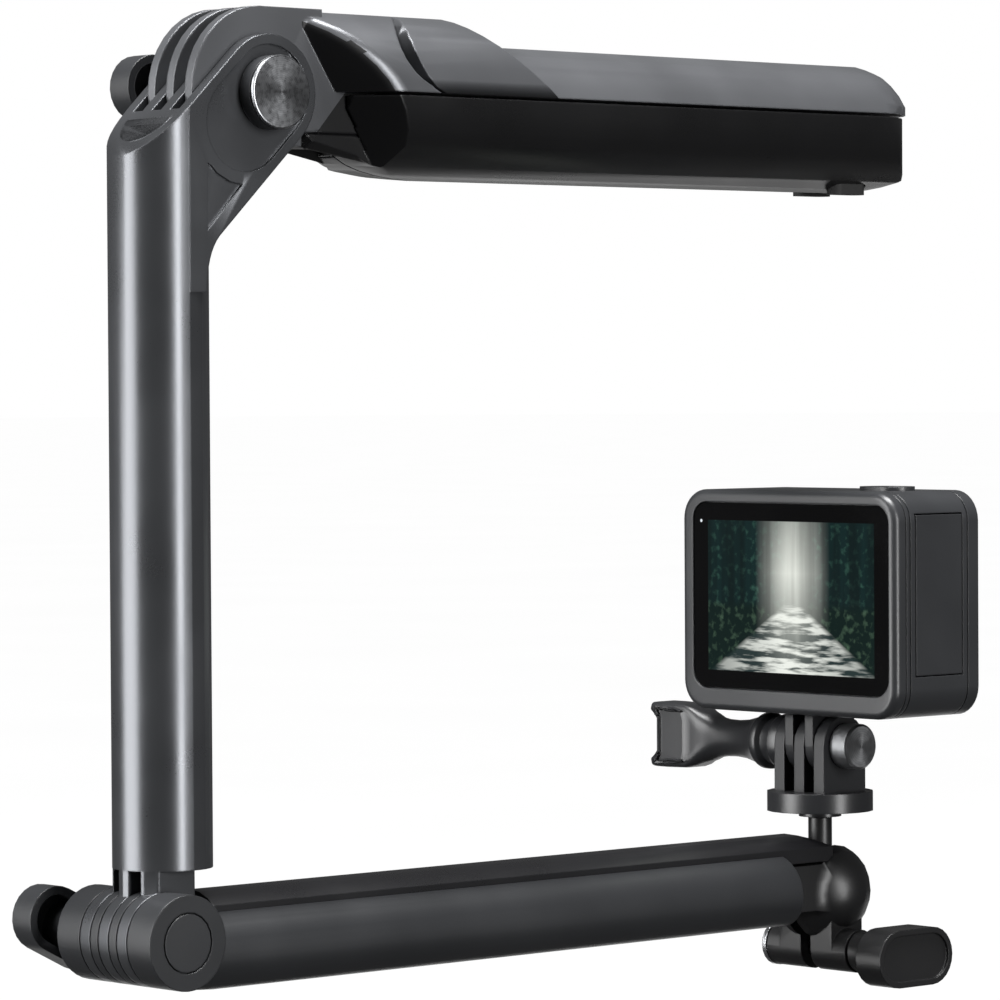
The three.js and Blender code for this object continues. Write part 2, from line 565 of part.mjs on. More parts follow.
// Each jaw is half a ball socket with a root inside the arm and a clamp ear below.
function makeJaw(side) {
  const split = 1.5;
  const between = side > 0 ? [split, 30] : [-30, -split];
  const globe = ball(SOCKET_RADIUS, BALL_X, 0, BALL_Z, 20);
  const root = block(ARM_END - 22, BALL_X - 4, -6.6, 6.6, -8.2, 1.9);
  const earEnds = side > 0 ? [0, 12] : [-12, 0];
  const ear = barY(4.8, ...earEnds, BALL_X, CLAMP_Z, 20);
  const neck = block(BALL_X - 4.8, BALL_X + 4.8, side > 0 ? 0 : -8, side > 0 ? 8 : 0, CLAMP_Z, BALL_Z - 6);
  const stemSlot = block(BALL_X - 4.3, BALL_X + 30, -4.3, 4.3, BALL_Z - 3.6, 30);
  const slotRound = barZ(4.3, BALL_Z, 30, BALL_X - 0.6, 0, 20);
  return cut(
    join(globe, root, ear, neck).intersect(block(0, 300, ...between, -40, 40)),
    ball(BALL_RADIUS + GAP, BALL_X, 0, BALL_Z, 20), stemSlot, slotRound,
    barY(2.2 + GAP, -30, 30, BALL_X, CLAMP_Z, 20),
  );
}

function makeClampKnob() {
  const back = -21.6;
  const front = -28.9;
  const grip = plateXZ(oval(0, 0, 23, 12.6), front, back, 6);
  const neck = barY(5.4, back - 1, -15.5, 0, 0, 20, 4.5).add(barY(4.5, -15.6, -12.4, 0, 0, 20));
  const face = plateXZ(oval(0, 0, 20.4, 10), front - 1, front + 0.6, 6);
  return cut(join(grip, neck), face, barY(2.2 + GAP, back - 3, 0, 0, 0, 20));
}

// ---------------------------------------------------------------- ball head and finger mount
// Drawn from the lower hinge axis.
function makeBall() {
  return cut(ball(BALL_RADIUS, BALL_X, 0, BALL_Z, 20), barZ(1.2, BALL_Z + 2, BALL_Z + 9, BALL_X, 0, 12));
}

function makeStem() {
  const rod = barZ(STEM_RADIUS, BALL_Z, DISC_TOP - 5.9, BALL_X, 0, 20);
  return cut(rod, ball(BALL_RADIUS + GAP, BALL_X, 0, BALL_Z, 20));
}

function prongPlate(y, thickness, up) {
  const shape = new THREE.Shape();
  const from = up ? DISC_TOP - 0.5 : CAMERA_BASE + 0.5;
  if (up) {
    shape.moveTo(BALL_X - PRONG_RADIUS, from);
    shape.lineTo(BALL_X + PRONG_RADIUS, from);
    shape.absarc(BALL_X, SCREW_Z, PRONG_RADIUS, 0, Math.PI);
  } else {
    shape.moveTo(BALL_X + PRONG_RADIUS, from);
    shape.lineTo(BALL_X - PRONG_RADIUS, from);
    shape.absarc(BALL_X, SCREW_Z, PRONG_RADIUS, Math.PI, Math.PI * 2);
  }
  return plateXZ(shape, y - thickness / 2, y + thickness / 2, 5);
}

function makeMountHead() {
  const disc = barZ(DISC_RADIUS, DISC_TOP - 4.3, DISC_TOP, BALL_X, 0, 20);
  const flange = barZ(4.75, DISC_TOP - 5.6, DISC_TOP - 4, BALL_X, 0, 20);
  const prongs = [-PRONG_PITCH, 0, PRONG_PITCH].map((y) => prongPlate(y, PRONG, true));
  return cut(join(disc, flange, ...prongs), barY(2.5 + GAP, -30, 30, BALL_X, SCREW_Z, 20));
}

const prongOuter = PRONG_PITCH + PRONG / 2;

function makeThumbNut() {
  return cut(barY(5, -prongOuter - 5.2, -prongOuter - GAP, BALL_X, SCREW_Z, 20),
    barY(2.5 + GAP, -prongOuter - 3.6, 0, BALL_X, SCREW_Z, 20));
}

const makeThumbBolt = () => barY(2.5, -prongOuter - 3.2, 20, BALL_X, SCREW_Z, 20);

// The thumb-screw's handle: a collar, a waisted shank and a forked paddle.
function makeThumbKnob() {
  const profile = [[0, prongOuter + GAP], [6, prongOuter + GAP], [6.2, 10.5], [5.2, 13], [6.3, 14.2], [6.3, 16],
    [5.2, 18.5], [4.1, 25], [4.2, 31], [5.4, 38], [0, 38]];
  const turned = new THREE.LatheGeometry(profile.map(([r, y]) => new THREE.Vector2(r, y)), 20);
  const shank = toSolid(turned.translate(BALL_X, 0, SCREW_Z));
  const paddle = plateXZ(roundedRectangle(BALL_X - 4.2, BALL_X + 4.2, SCREW_Z - 7.4, SCREW_Z + 7.4, 2.4), 33, 50);
  const waist = barX(6.4, BALL_X - 20, BALL_X + 20, 53.2, SCREW_Z, 20);
  const flare = [-1, 1].map((side) => barX(11, BALL_X - 20, BALL_X + 20, 30, SCREW_Z + side * 16.6, 20));
  return cut(join(shank, cut(paddle, waist, ...flare)), barY(2.5 + GAP, 0, 20.4, BALL_X, SCREW_Z, 20));
}

// ---------------------------------------------------------------- action camera
const CAMERA_CORNER = 6.6;
const bodyOutline = (inset) => roundedRectangle(-CAMERA_HALF + inset, CAMERA_HALF - inset,
  CAMERA_BASE + inset, CAMERA_TOP - inset, CAMERA_CORNER - Math.min(inset, 5));
const rearSeam = CAMERA_BACK + 4.6;
const frontSeam = CAMERA_FRONT - 4.2;
const screen = { low: CAMERA_BASE + 4.8, high: CAMERA_TOP - 2.6, left: CAMERA_HALF - 3.6, right: -CAMERA_HALF + 1.9 };

function makeRearShell() {
  const shell = plateYZ(bodyOutline(0), CAMERA_BACK + 0.9, rearSeam, 4)
    .add(plateYZ(bodyOutline(0.9), CAMERA_BACK, CAMERA_BACK + 1, 4));
  const pocket = roundedRectangle(screen.right, screen.left, screen.low, screen.high, 4);
  const window = roundedRectangle(screen.right + 3, screen.left - 3, screen.low + 3, screen.high - 3, 2);
  return cut(shell, plateYZ(pocket, CAMERA_BACK - 1, CAMERA_BACK + 1.5, 4),
    plateYZ(window, CAMERA_BACK, rearSeam + 1, 4));
}

function makeScreenGlass() {
  return plateYZ(roundedRectangle(screen.right + GAP, screen.left - GAP, screen.low + GAP,
    screen.high - GAP, 3.7), CAMERA_BACK + 0.3, CAMERA_BACK + 1.2, 4);
}

function makeDisplay() {
  return plateYZ(roundedRectangle(screen.right + 4.6, screen.left - 4.6, screen.low + 4.2, screen.high - 4.2, 1),
    CAMERA_BACK + 1.5, CAMERA_BACK + 3.4, 4);
}

const fingerFoot = { x0: rearSeam + 1, x1: BALL_X + PRONG_RADIUS };
const door = { x0: rearSeam + 2, x1: frontSeam - 2, low: CAMERA_BASE + 9.5, high: CAMERA_TOP - 5 };

function makeMiddleFrame() {
  const ring = cut(plateYZ(bodyOutline(0), rearSeam + GAP, frontSeam - GAP, 4),
    plateYZ(bodyOutline(2.6), rearSeam - 1, frontSeam + 1, 4));
  return cut(ring,
    block(fingerFoot.x0 - GAP, fingerFoot.x1 + GAP, -5.5 - GAP, 5.5 + GAP, CAMERA_BASE - 1, CAMERA_BASE + 1.9),
    block(door.x0 - GAP, door.x1 + GAP, -CAMERA_HALF - 1, -CAMERA_HALF + 2.9, door.low - GAP, door.high + GAP),
    plateXY(oval(BALL_X + 4, -17, 13.2 + 2 * GAP, 9 + 2 * GAP, Math.PI / 2), CAMERA_TOP - 4, CAMERA_TOP + 1, 4),
    plateXZ(oval(BALL_X + 4, 68, 9 + 2 * GAP, 4 + 2 * GAP), CAMERA_HALF - 4, CAMERA_HALF + 1, 4),
  );
}

function makeFrontShell() {
  const shell = plateYZ(bodyOutline(0), frontSeam, CAMERA_FRONT - 0.9, 4)
    .add(plateYZ(bodyOutline(0.9), CAMERA_FRONT - 1, CAMERA_FRONT, 4));
  return cut(shell, plateYZ(bodyOutline(2.6), frontSeam - 1, CAMERA_FRONT - 2, 4),
    barX(11 + GAP, frontSeam, CAMERA_FRONT + 1, LENS.y, LENS.z, 24),
    plateYZ(roundedRectangle(-24.3, -1.7, 51.7, 74.3, 2.3), CAMERA_FRONT - 0.9, CAMERA_FRONT + 1, 6));
}

const LENS = { y: 16, z: 66 };

function makeLensBarrel() {
  const outer = barX(11, frontSeam - 8, CAMERA_FRONT + 4.6, LENS.y, LENS.z, 24);
  return cut(outer, barX(8.6, CAMERA_FRONT - 1, CAMERA_FRONT + 6, LENS.y, LENS.z, 24));
}

const makeLensGlass = () => barX(8.6 - GAP, CAMERA_FRONT - 0.7, CAMERA_FRONT + 3.6, LENS.y, LENS.z, 24);

const makeFrontDisplay = () => plateYZ(roundedRectangle(-24, -2, 52, 74, 2),
  CAMERA_FRONT - 0.6, CAMERA_FRONT + 0.1, 6);

const makeDoor = () => block(door.x0, door.x1, -CAMERA_HALF, -CAMERA_HALF + 1.8, door.low, door.high);

const makeShutter = () => plateXY(oval(BALL_X + 4, -17, 13.2, 9, Math.PI / 2), CAMERA_TOP - 3.2,
  CAMERA_TOP + 0.9, 4);

const makePowerButton = () => plateXZ(oval(BALL_X + 4, 68, 9, 4), CAMERA_HALF - 3.2, CAMERA_HALF + 0.5, 4);

const makeBattery = () => block(rearSeam + 3.5, frontSeam - 3, -CAMERA_HALF + 3.2, -CAMERA_HALF + 21,
  CAMERA_BASE + 5.6, CAMERA_TOP - 9);

const makeBoard = () => block(rearSeam + 0.6, rearSeam + 2, -26, 27, CAMERA_BASE + 5, CAMERA_TOP - 6);

function makeCameraFingers() {
  const prongs = [-1, 1].map((side) => prongPlate(side * PRONG_PITCH / 2, PRONG - 2 * GAP, false));
  const foot = block(fingerFoot.x0, fingerFoot.x1, -5.5, 5.5, CAMERA_BASE, CAMERA_BASE + 1.6);
  const rearRelief = block(0, fingerFoot.x0, -20, 20, CAMERA_BASE - GAP, CAMERA_TOP);
  return cut(join(foot, ...prongs), barY(2.5 + GAP, -30, 30, BALL_X, SCREW_Z, 20), rearRelief);
}

// ---------------------------------------------------------------- assembly
const grip = new THREE.Group();

const handle = new THREE.Group();
handle.position.set(-GRIP_TO_HINGE, 0, 0);
grip.add(handle);
addPart(handle, 'grip_hub', makeHub(), SATIN_GREY);
addPart(handle, 'top_leg', makeTopLeg(), LIGHT_GREY);
addPart(handle, 'top_leg_pin', barY(pinRadius, -forkHalf + 0.1, forkHalf - 0.1, LEG_PIVOT.x, LEG_PIVOT.z, 10), STEEL);
for (const [place, side] of [['front', -1], ['back', 1]]) {
  addPart(handle, `${place}_leg`, makeLowerLeg(side), BLACK_PLASTIC);
  addPart(handle, `${place}_leg_pin`, lowerPinBar(pinRadius, 3, 1.9, side), STEEL);
  addPart(handle, `${place}_leg_pad`, makePad(side), RUBBER);
}

// The upper hinge: bolt, face cap, spacer and knob.
const upperHinge = new THREE.Group();
upperHinge.position.set(-GRIP_TO_HINGE, 0, -GRIP_RISE);
grip.add(upperHinge);
const boltHead = barY(7.35, -12.6, -BRACKET_HALF + 0.5, 0, 0, 36);
addPart(upperHinge, 'upper_hinge_bolt', boltHead.add(makeHingeBolt(-BRACKET_HALF, 17, 20)), DARK_PLASTIC);
addPart(upperHinge, 'upper_bolt_cap', barY(7.35, -13.6, -12.6 - GAP, 0, 0, 36), BRIGHT_METAL);
addPart(upperHinge, 'upper_spacer', makeWasher(BRACKET_HALF + GAP, HINGE_HALF + 1.2), STEEL);
addPart(upperHinge, 'upper_knob', makeKnob(), DARK_PLASTIC);
addPart(upperHinge, 'upper_knob_nut', makeKnobNut(), BRASS);

const arms = new THREE.Group();
arms.position.set(-GRIP_TO_HINGE - ARM_SETBACK, 0, -GRIP_RISE - ARM_DROP);
grip.add(arms);
addPart(arms, 'middle_arm', makeMiddleArm(), SATIN_GREY);

// The lower hinge: bolt, face cap, washer and knob.
addPart(arms, 'lower_hinge_bolt', makeHingeBolt(-HINGE_HALF + 1.4, 17, 20), STEEL);
addPart(arms, 'lower_bolt_cap', barY(5.7, -HINGE_HALF, -HINGE_HALF + 0.8, 0, 0, 20), DARK_PLASTIC);
addPart(arms, 'lower_washer', makeWasher(HINGE_HALF + GAP, HINGE_HALF + 1.2), STEEL);
addPart(arms, 'lower_knob', makeKnob(), DARK_PLASTIC);
addPart(arms, 'lower_knob_nut', makeKnobNut(), BRASS);

// The lower arm and its ball socket.
addPart(arms, 'lower_arm_shell', makeArmShell(), BLACK_PLASTIC);
addPart(arms, 'lower_arm_cover', makeArmCover(), BLACK_PLASTIC);
addPart(arms, 'socket_front_jaw', makeJaw(-1), BLACK_PLASTIC);
addPart(arms, 'socket_back_jaw', makeJaw(1), BLACK_PLASTIC);
const clampHead = barY(4.9, 12 + GAP, 13.4, BALL_X, CLAMP_Z, 20);
addPart(arms, 'clamp_bolt', clampHead.add(barY(2.2, -24, 13, BALL_X, CLAMP_Z, 20)), BRIGHT_METAL);
const clampKnob = addPart(arms, 'clamp_knob', makeClampKnob(), BLACK_PLASTIC);
clampKnob.position.set(BALL_X, 0, CLAMP_Z);

addPart(arms, 'ball', makeBall(), STEEL);
addPart(arms, 'ball_stem', makeStem(), DARK_PLASTIC);
addPart(arms, 'mount_head', makeMountHead(), DARK_PLASTIC);
addPart(arms, 'thumb_nut', makeThumbNut(), BRIGHT_METAL);
addPart(arms, 'thumb_bolt', makeThumbBolt(), STEEL);
addPart(arms, 'thumb_knob', makeThumbKnob(), BLACK_PLASTIC);

// The action camera.
addPart(arms, 'camera_frame', makeMiddleFrame(), DARK_PLASTIC);
addPart(arms, 'camera_rear_shell', makeRearShell(), DARK_PLASTIC);
addPart(arms, 'camera_front_shell', makeFrontShell(), DARK_PLASTIC);
addPart(arms, 'screen_glass', makeScreenGlass(), GLASS);
addPart(arms, 'display_panel', makeDisplay(), PICTURE);
addPart(arms, 'lens_barrel', makeLensBarrel(), BLACK_PLASTIC);
addPart(arms, 'lens_glass', makeLensGlass(), GLASS);
addPart(arms, 'front_display', makeFrontDisplay(), GLASS);
addPart(arms, 'shutter_button', makeShutter(), DARK_PLASTIC);
addPart(arms, 'power_button', makePowerButton(), DARK_PLASTIC);
addPart(arms, 'side_door', makeDoor(), DARK_PLASTIC);
addPart(arms, 'camera_battery', makeBattery(), BLACK_PLASTIC);
addPart(arms, 'circuit_board', makeBoard(), BOARD);
addPart(arms, 'camera_fingers', makeCameraFingers(), DARK_PLASTIC);

export default grip;
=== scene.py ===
import json
import math

import bmesh
import bpy
from bpy.props import FloatProperty, FloatVectorProperty, PointerProperty
from mathutils import Matrix, Vector


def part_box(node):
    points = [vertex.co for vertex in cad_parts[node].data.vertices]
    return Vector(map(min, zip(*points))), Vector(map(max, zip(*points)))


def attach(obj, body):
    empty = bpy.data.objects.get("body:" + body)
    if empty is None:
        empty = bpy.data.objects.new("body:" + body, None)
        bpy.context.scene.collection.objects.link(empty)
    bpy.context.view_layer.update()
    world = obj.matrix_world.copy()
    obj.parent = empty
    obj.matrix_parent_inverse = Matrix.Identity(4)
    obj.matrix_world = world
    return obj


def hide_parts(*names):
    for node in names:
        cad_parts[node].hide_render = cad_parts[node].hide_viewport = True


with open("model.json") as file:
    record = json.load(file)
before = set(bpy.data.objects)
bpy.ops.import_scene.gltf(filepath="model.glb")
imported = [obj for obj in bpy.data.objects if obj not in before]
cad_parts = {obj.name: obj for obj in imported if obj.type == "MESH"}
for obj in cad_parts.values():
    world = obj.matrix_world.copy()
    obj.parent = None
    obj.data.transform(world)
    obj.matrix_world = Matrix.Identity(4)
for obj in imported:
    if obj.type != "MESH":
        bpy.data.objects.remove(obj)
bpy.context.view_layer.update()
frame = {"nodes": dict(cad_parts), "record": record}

bl_info = {
    "name": "Folding Camera Arm",
    "version": (1, 0, 0),
    "blender": (4, 5, 0),
    "location": "View3D > Sidebar > Camera Arm",
    "description": "Finishes a folding camera arm with a ball head and an action camera",
    "category": "Add Mesh",
}

MM = 0.001
RECORD = frame["record"]
BODY = {node: body for body, nodes in RECORD["behaviour"]["bodies"].items() for node in nodes}

# The grip: which way its slanted faces look, and how far out its flat cheeks lie.
SLANT = Vector((-0.670, -0.594, -0.444))
CHEEK = 7.2 * MM

# Bore radius of the thumb screw's nut and knob in millimetres.
THUMB_BORE = 2.65

# The camera's turn, downward tilt and roll in degrees, and where it stands.
VIEW_ANGLES = (42.2177, 1.4031, -0.3331)
VIEW_PLACE = (-0.731785, -0.768483, -0.056969)
SENSOR_WIDTH = 36


# ------------------------------------------------------------------ settings
def colour(name, description, default):
    return FloatVectorProperty(name=name, description=description, default=default, subtype="COLOR",
                               size=3, min=0, max=1)


def length(name, description, default):
    return FloatProperty(name=name, description=description, default=default, unit="LENGTH", min=0)


def factor(name, description, default):
    return FloatProperty(name=name, description=description, default=default, subtype="FACTOR",
                         min=0, max=1)


class GripSettings(bpy.types.PropertyGroup):
    hub_colour: colour("Hub colour", "Satin grey of the hub and the top leg", (0.100, 0.103, 0.110))
    leg_colour: colour("Lower leg colour", "Black of the two lower legs", (0.0050, 0.0050, 0.0055))
    hub_roughness: factor("Hub roughness", "How widely the grey finish spreads light", 0.34)
    slant: length("Slant radius", "Rounding where the slanted faces meet the round grip", 0.0022)
    tip: length("Tip length", "Length of the top leg's domed end", 0.0195)


class ArmSettings(bpy.types.PropertyGroup):
    tube_colour: colour("Tube colour", "Anodised grey of the middle arm", (0.085, 0.088, 0.094))
    tube_roughness: factor("Tube roughness", "How widely the anodised finish spreads light", 0.3)
    shell_colour: colour("Shell colour", "Dark grey of the lower arm", (0.022, 0.023, 0.025))
    cover_colour: colour("Cover colour", "Black of the lower arm's top cover", (0.008, 0.008, 0.009))
    cap_colour: colour("Cap colour", "Turned metal cap of the upper hinge", (0.24, 0.245, 0.255))
    shank: length("Shank radius", "Narrowest radius of the thumb screw's shank", 0.0041)


class CameraSettings(bpy.types.PropertyGroup):
    body_colour: colour("Body colour", "Satin dark grey of the camera body", (0.022, 0.023, 0.025))
    edge: length("Edge radius", "Rounding of the body's front and back edges", 0.0016)
    picture_light: FloatProperty(name="Picture light", description="Brightness of the lit screen",
                                 default=1.0, min=0)


class StageSettings(bpy.types.PropertyGroup):
    floor_drop: length("Floor drop", "Distance from the grip down to the floor", 0.36)
    lens: FloatProperty(name="Lens", description="Focal length of the camera", default=179.61,
                        unit="CAMERA", min=1)
    key: FloatProperty(name="Key light", description="Power of the tall light on the left",
                       default=30, unit="POWER", min=0)
    side: FloatProperty(name="Side light", description="Power of the narrow light on the right",
                        default=18, unit="POWER", min=0)
    top: FloatProperty(name="Top light", description="Power of the overhead light",
                       default=60, unit="POWER", min=0)
    under: FloatProperty(name="Under light", description="Power of the low light below the object",
                         default=1.5, unit="POWER", min=0)


# ----------------------------------------------------------------- materials
class Paint:
    """A node material under construction, reading Object coordinates."""

    def __init__(self, name):
        self.material = bpy.data.materials.new(name)
        self.material.use_nodes = True
        self.tree = self.material.node_tree
        self.shader = self.tree.nodes["Principled BSDF"]
        self.where = self.tree.nodes.new("ShaderNodeTexCoord").outputs["Object"]

    def node(self, kind, **values):
        made = self.tree.nodes.new(kind)
        for key, value in values.items():
            setattr(made, key, value)
        return made

    def link(self, source, target):
        self.tree.links.new(source, target)

    def math(self, operation, a, b=0.0):
        made = self.node("ShaderNodeMath", operation=operation)
        for socket, value in zip(made.inputs, (a, b)):
            if isinstance(value, (int, float)):
                socket.default_value = value
            else:
                self.link(value, socket)
        return made.outputs[0]

    def noise(self, scale, detail=3.0, stretch=(1, 1, 1), seed=0.0):
        place = self.node("ShaderNodeMapping")
        place.inputs["Location"].default_value = (seed, seed, seed)
        place.inputs["Scale"].default_value = stretch
        self.link(self.where, place.inputs["Vector"])
        made = self.node("ShaderNodeTexNoise")
        made.inputs["Scale"].default_value = scale
        made.inputs["Detail"].default_value = detail
        self.link(place.outputs[0], made.inputs["Vector"])
        return made.outputs["Fac"]

    def spread(self, value, low, high, start=0.0, end=1.0):
        made = self.node("ShaderNodeMapRange")
        for key, number in zip(("From Min", "From Max", "To Min", "To Max"), (start, end, low, high)):
            made.inputs[key].default_value = number
        self.link(value, made.inputs["Value"])
        return made.outputs[0]

    def mix(self, amount, first, second):
        made = self.node("ShaderNodeMix", data_type="RGBA")
        for socket, value in zip((made.inputs[0], made.inputs[6], made.inputs[7]), (amount, first, second)):
            if isinstance(value, (int, float)):
                socket.default_value = value
            elif isinstance(value, tuple):
                socket.default_value = (*value, 1)
            else:
                self.link(value, socket)
        return made.outputs[2]

    def bump(self, height, depth, strength=1.0, normal=None):
        made = self.node("ShaderNodeBump")
        made.inputs["Strength"].default_value = strength
        made.inputs["Distance"].default_value = depth
        self.link(height, made.inputs["Height"])
        if normal is not None:
            self.link(normal, made.inputs["Normal"])
        return made.outputs[0]

    def soft_edge(self, radius):
        made = self.node("ShaderNodeBevel", samples=4)
        made.inputs["Radius"].default_value = radius
        return made.outputs[0]

    def set(self, **values):
        for key, value in values.items():
            self.shader.inputs[key.replace("_", " ")].default_value = value


def shade(base, amount):
    return tuple(min(1.0, channel * amount) for channel in base)


def satin(name, base, roughness, metallic=0.0, grain=0.00002, grain_scale=2600, edge=0.00025,
          variation=0.06, specular=0.5, edge_wear_and_highlight=1.35):
    """A satin finish: fine grain, slightly uneven gloss, and edges painted lighter, partly as edge wear and
    partly as a painted highlight.
    """
    paint = Paint(name)
    rounded = paint.soft_edge(edge)
    surface = paint.node("ShaderNodeNewGeometry").outputs["Normal"]
    facing = paint.node("ShaderNodeVectorMath", operation="DOT_PRODUCT")
    paint.link(rounded, facing.inputs[0])
    paint.link(surface, facing.inputs[1])
    # Painted edge highlight: near rounded edges the colour mixes towards a lighter copy of the base, partly
    # edge wear and partly the highlight a lit edge catches.
    edges = paint.spread(facing.outputs["Value"], 1.0, 0.0, 0.86, 0.995)
    cloud = paint.noise(45, 2.0, seed=1.7)
    speck = paint.noise(grain_scale, 2.0)
    tint = paint.mix(paint.spread(cloud, 0.0, 1.0, 0.35, 0.65), shade(base, 0.94), shade(base, 1.06))
    paint.link(paint.mix(paint.math("MULTIPLY", edges, 0.6), tint, shade(base, edge_wear_and_highlight)),
               paint.shader.inputs["Base Color"])
    uneven = paint.math("ADD", paint.spread(cloud, -variation / 2, variation / 2, 0.3, 0.7),
                        paint.spread(speck, roughness - variation / 2, roughness + variation / 2))
    paint.link(uneven, paint.shader.inputs["Roughness"])
    paint.link(paint.bump(speck, grain, 0.5, rounded), paint.shader.inputs["Normal"])
    paint.set(Metallic=metallic, Specular_IOR_Level=specular)
    return paint.material


def around(paint, centre):
    """The vector from an axis along Y to the point, and its length."""
    place = paint.node("ShaderNodeVectorMath", operation="SUBTRACT")
    place.inputs[1].default_value = centre
    paint.link(paint.where, place.inputs[0])
    flat = paint.node("ShaderNodeVectorMath", operation="MULTIPLY")
    flat.inputs[1].default_value = (1, 0, 1)
    paint.link(place.outputs[0], flat.inputs[0])
    size = paint.node("ShaderNodeVectorMath", operation="LENGTH")
    paint.link(flat.outputs[0], size.inputs[0])
    return flat.outputs[0], size.outputs["Value"]


def turned(name, base, centre, pitch=0.00042, roughness=0.3):
    """Turned metal: fine rings about an axis along Y, drawn out along the cut."""
    paint = Paint(name)
    outward, size = around(paint, centre)
    rings = paint.math("SINE", paint.math("MULTIPLY", size, 2 * math.pi / pitch))
    scratch = paint.noise(900, 4.0)
    along = paint.node("ShaderNodeVectorMath", operation="CROSS_PRODUCT")
    along.inputs[1].default_value = (0, 1, 0)
    paint.link(outward, along.inputs[0])
    paint.link(along.outputs[0], paint.shader.inputs["Tangent"])
    paint.link(paint.mix(paint.spread(rings, 0.0, 1.0, -1.0, 1.0), shade(base, 0.86), shade(base, 1.08)),
               paint.shader.inputs["Base Color"])
    paint.link(paint.spread(scratch, roughness - 0.05, roughness + 0.06, 0.3, 0.7),
               paint.shader.inputs["Roughness"])
    paint.link(paint.bump(rings, 0.00001, 0.15), paint.shader.inputs["Normal"])
    paint.set(Metallic=1.0, Anisotropic=0.5)
    return paint.material


def plain_metal(name, base, roughness=0.24):
    """Drawn metal with faint streaks along it."""
    paint = Paint(name)
    drawn = paint.noise(700, 3.0, stretch=(1, 8, 1))
    paint.link(paint.mix(paint.spread(drawn, 0.0, 1.0, 0.3, 0.7), shade(base, 0.9), shade(base, 1.05)),
               paint.shader.inputs["Base Color"])
    paint.link(paint.spread(drawn, roughness - 0.05, roughness + 0.08, 0.3, 0.7),
               paint.shader.inputs["Roughness"])
    paint.link(paint.bump(drawn, 0.000008, 0.4, paint.soft_edge(0.0002)), paint.shader.inputs["Normal"])
    paint.set(Metallic=1.0)
    return paint.material


def clear_glass(name, tint, roughness=0.04):
    """Dark coated glass with a slightly uneven gloss."""
    paint = Paint(name)
    smear = paint.noise(60, 4.0)
    paint.link(paint.spread(smear, roughness, roughness + 0.03, 0.4, 0.7), paint.shader.inputs["Roughness"])
    paint.link(paint.mix(paint.spread(smear, 0.0, 1.0, 0.3, 0.7), tint, shade(tint, 1.25)),
               paint.shader.inputs["Base Color"])
    paint.set(Specular_IOR_Level=0.5, Coat_Weight=1.0, Coat_Roughness=0.02)
    return paint.material


def window(paint, value, low, high, soft):
    """1 between low and high, falling to 0 over a short soft edge."""
    rise = paint.spread(value, 0.0, 1.0, low - soft, low + soft)
    fall = paint.spread(value, 1.0, 0.0, high - soft, high + soft)
    return paint.math("MULTIPLY", rise, fall)


def screen_picture(name, low, high, light):
    """Black glass with a lit picture: a pale road running into a misty wood."""
    paint = Paint(name)
    parts = paint.node("ShaderNodeSeparateXYZ")
    paint.link(paint.where, parts.inputs[0])
    across = paint.spread(parts.outputs["Y"], 1.0, -1.0, low[0], high[0])
    upward = paint.spread(parts.outputs["Z"], 0.0, 1.0, low[1], high[1])
    inside = paint.math("MULTIPLY", window(paint, parts.outputs["Y"], low[0], high[0], 0.00006),
                        window(paint, parts.outputs["Z"], low[1], high[1], 0.00006))
    # The bright gap in the trees fades with the distance from it.
    side = paint.math("ABSOLUTE", paint.math("SUBTRACT", across, 0.03))
    glow_across = paint.spread(side, 1.0, 0.0, 0.0, 0.45)
    above = paint.math("ABSOLUTE", paint.math("SUBTRACT", upward, 0.66))
    glow_up = paint.spread(above, 1.0, 0.0, 0.0, 0.75)
    glow = paint.math("POWER", paint.math("MULTIPLY", glow_across, glow_up), 1.25)
    trunks = paint.noise(1, 2.5, stretch=(1, 330, 14), seed=3.1)
    trunk_mask = paint.spread(trunks, 0.2, 1.0, 0.40, 0.60)
    leaves = paint.noise(620, 6.0, seed=8.3)
    leaf_light = paint.spread(leaves, 0.0, 1.0, 0.52, 0.78)
    wood = paint.mix(leaf_light, (0.004, 0.018, 0.018), (0.035, 0.10, 0.075))
    trees = paint.mix(trunk_mask, (0.002, 0.008, 0.008), wood)
    # The road widens towards the bottom edge.
    half = paint.spread(upward, 0.98, 0.07, 0.0, 0.46)
    on_road = paint.spread(paint.math("SUBTRACT", half, side), 0.0, 1.0, -0.03, 0.05)
    below = paint.spread(upward, 1.0, 0.0, 0.42, 0.47)
    dapple = paint.noise(1, 4.0, stretch=(1, 120, 900), seed=5.5)
    patches = paint.spread(dapple, 0.0, 1.0, 0.42, 0.58)
    near_middle = paint.spread(side, 1.0, 0.35, 0.1, 0.9)
    road = paint.mix(paint.math("MULTIPLY", patches, near_middle), (0.02, 0.035, 0.035), (0.85, 0.88, 0.82))
    verge = paint.mix(leaf_light, (0.003, 0.012, 0.01), (0.06, 0.11, 0.07))
    ground = paint.mix(on_road, verge, road)
    haze = paint.math("MULTIPLY", glow, paint.spread(trunks, 0.7, 1.0, 0.4, 0.6))
    picture = paint.mix(haze, paint.mix(below, trees, ground), (0.95, 0.98, 0.90))
    # A small pale lamp beside the picture.
    lamp_y = paint.math("SUBTRACT", parts.outputs["Y"], high[0] + 0.0021)
    lamp_z = paint.math("SUBTRACT", parts.outputs["Z"], high[1] - 0.0002)
    reach = paint.math("SQRT", paint.math("ADD", paint.math("MULTIPLY", lamp_y, lamp_y),
                                          paint.math("MULTIPLY", lamp_z, lamp_z)))
    lamp = paint.spread(reach, 1.0, 0.0, 0.00028, 0.0004)
    shown = paint.mix(inside, (0.0, 0.0, 0.0), picture)
    paint.link(paint.mix(lamp, shown, (0.8, 0.85, 0.9)), paint.shader.inputs["Emission Color"])
    paint.link(paint.spread(paint.noise(60, 3.0), 0.05, 0.08, 0.4, 0.6), paint.shader.inputs["Roughness"])
    paint.set(Base_Color=(0.002, 0.002, 0.0022, 1), Specular_IOR_Level=0.35, Emission_Strength=light)
    return paint.material


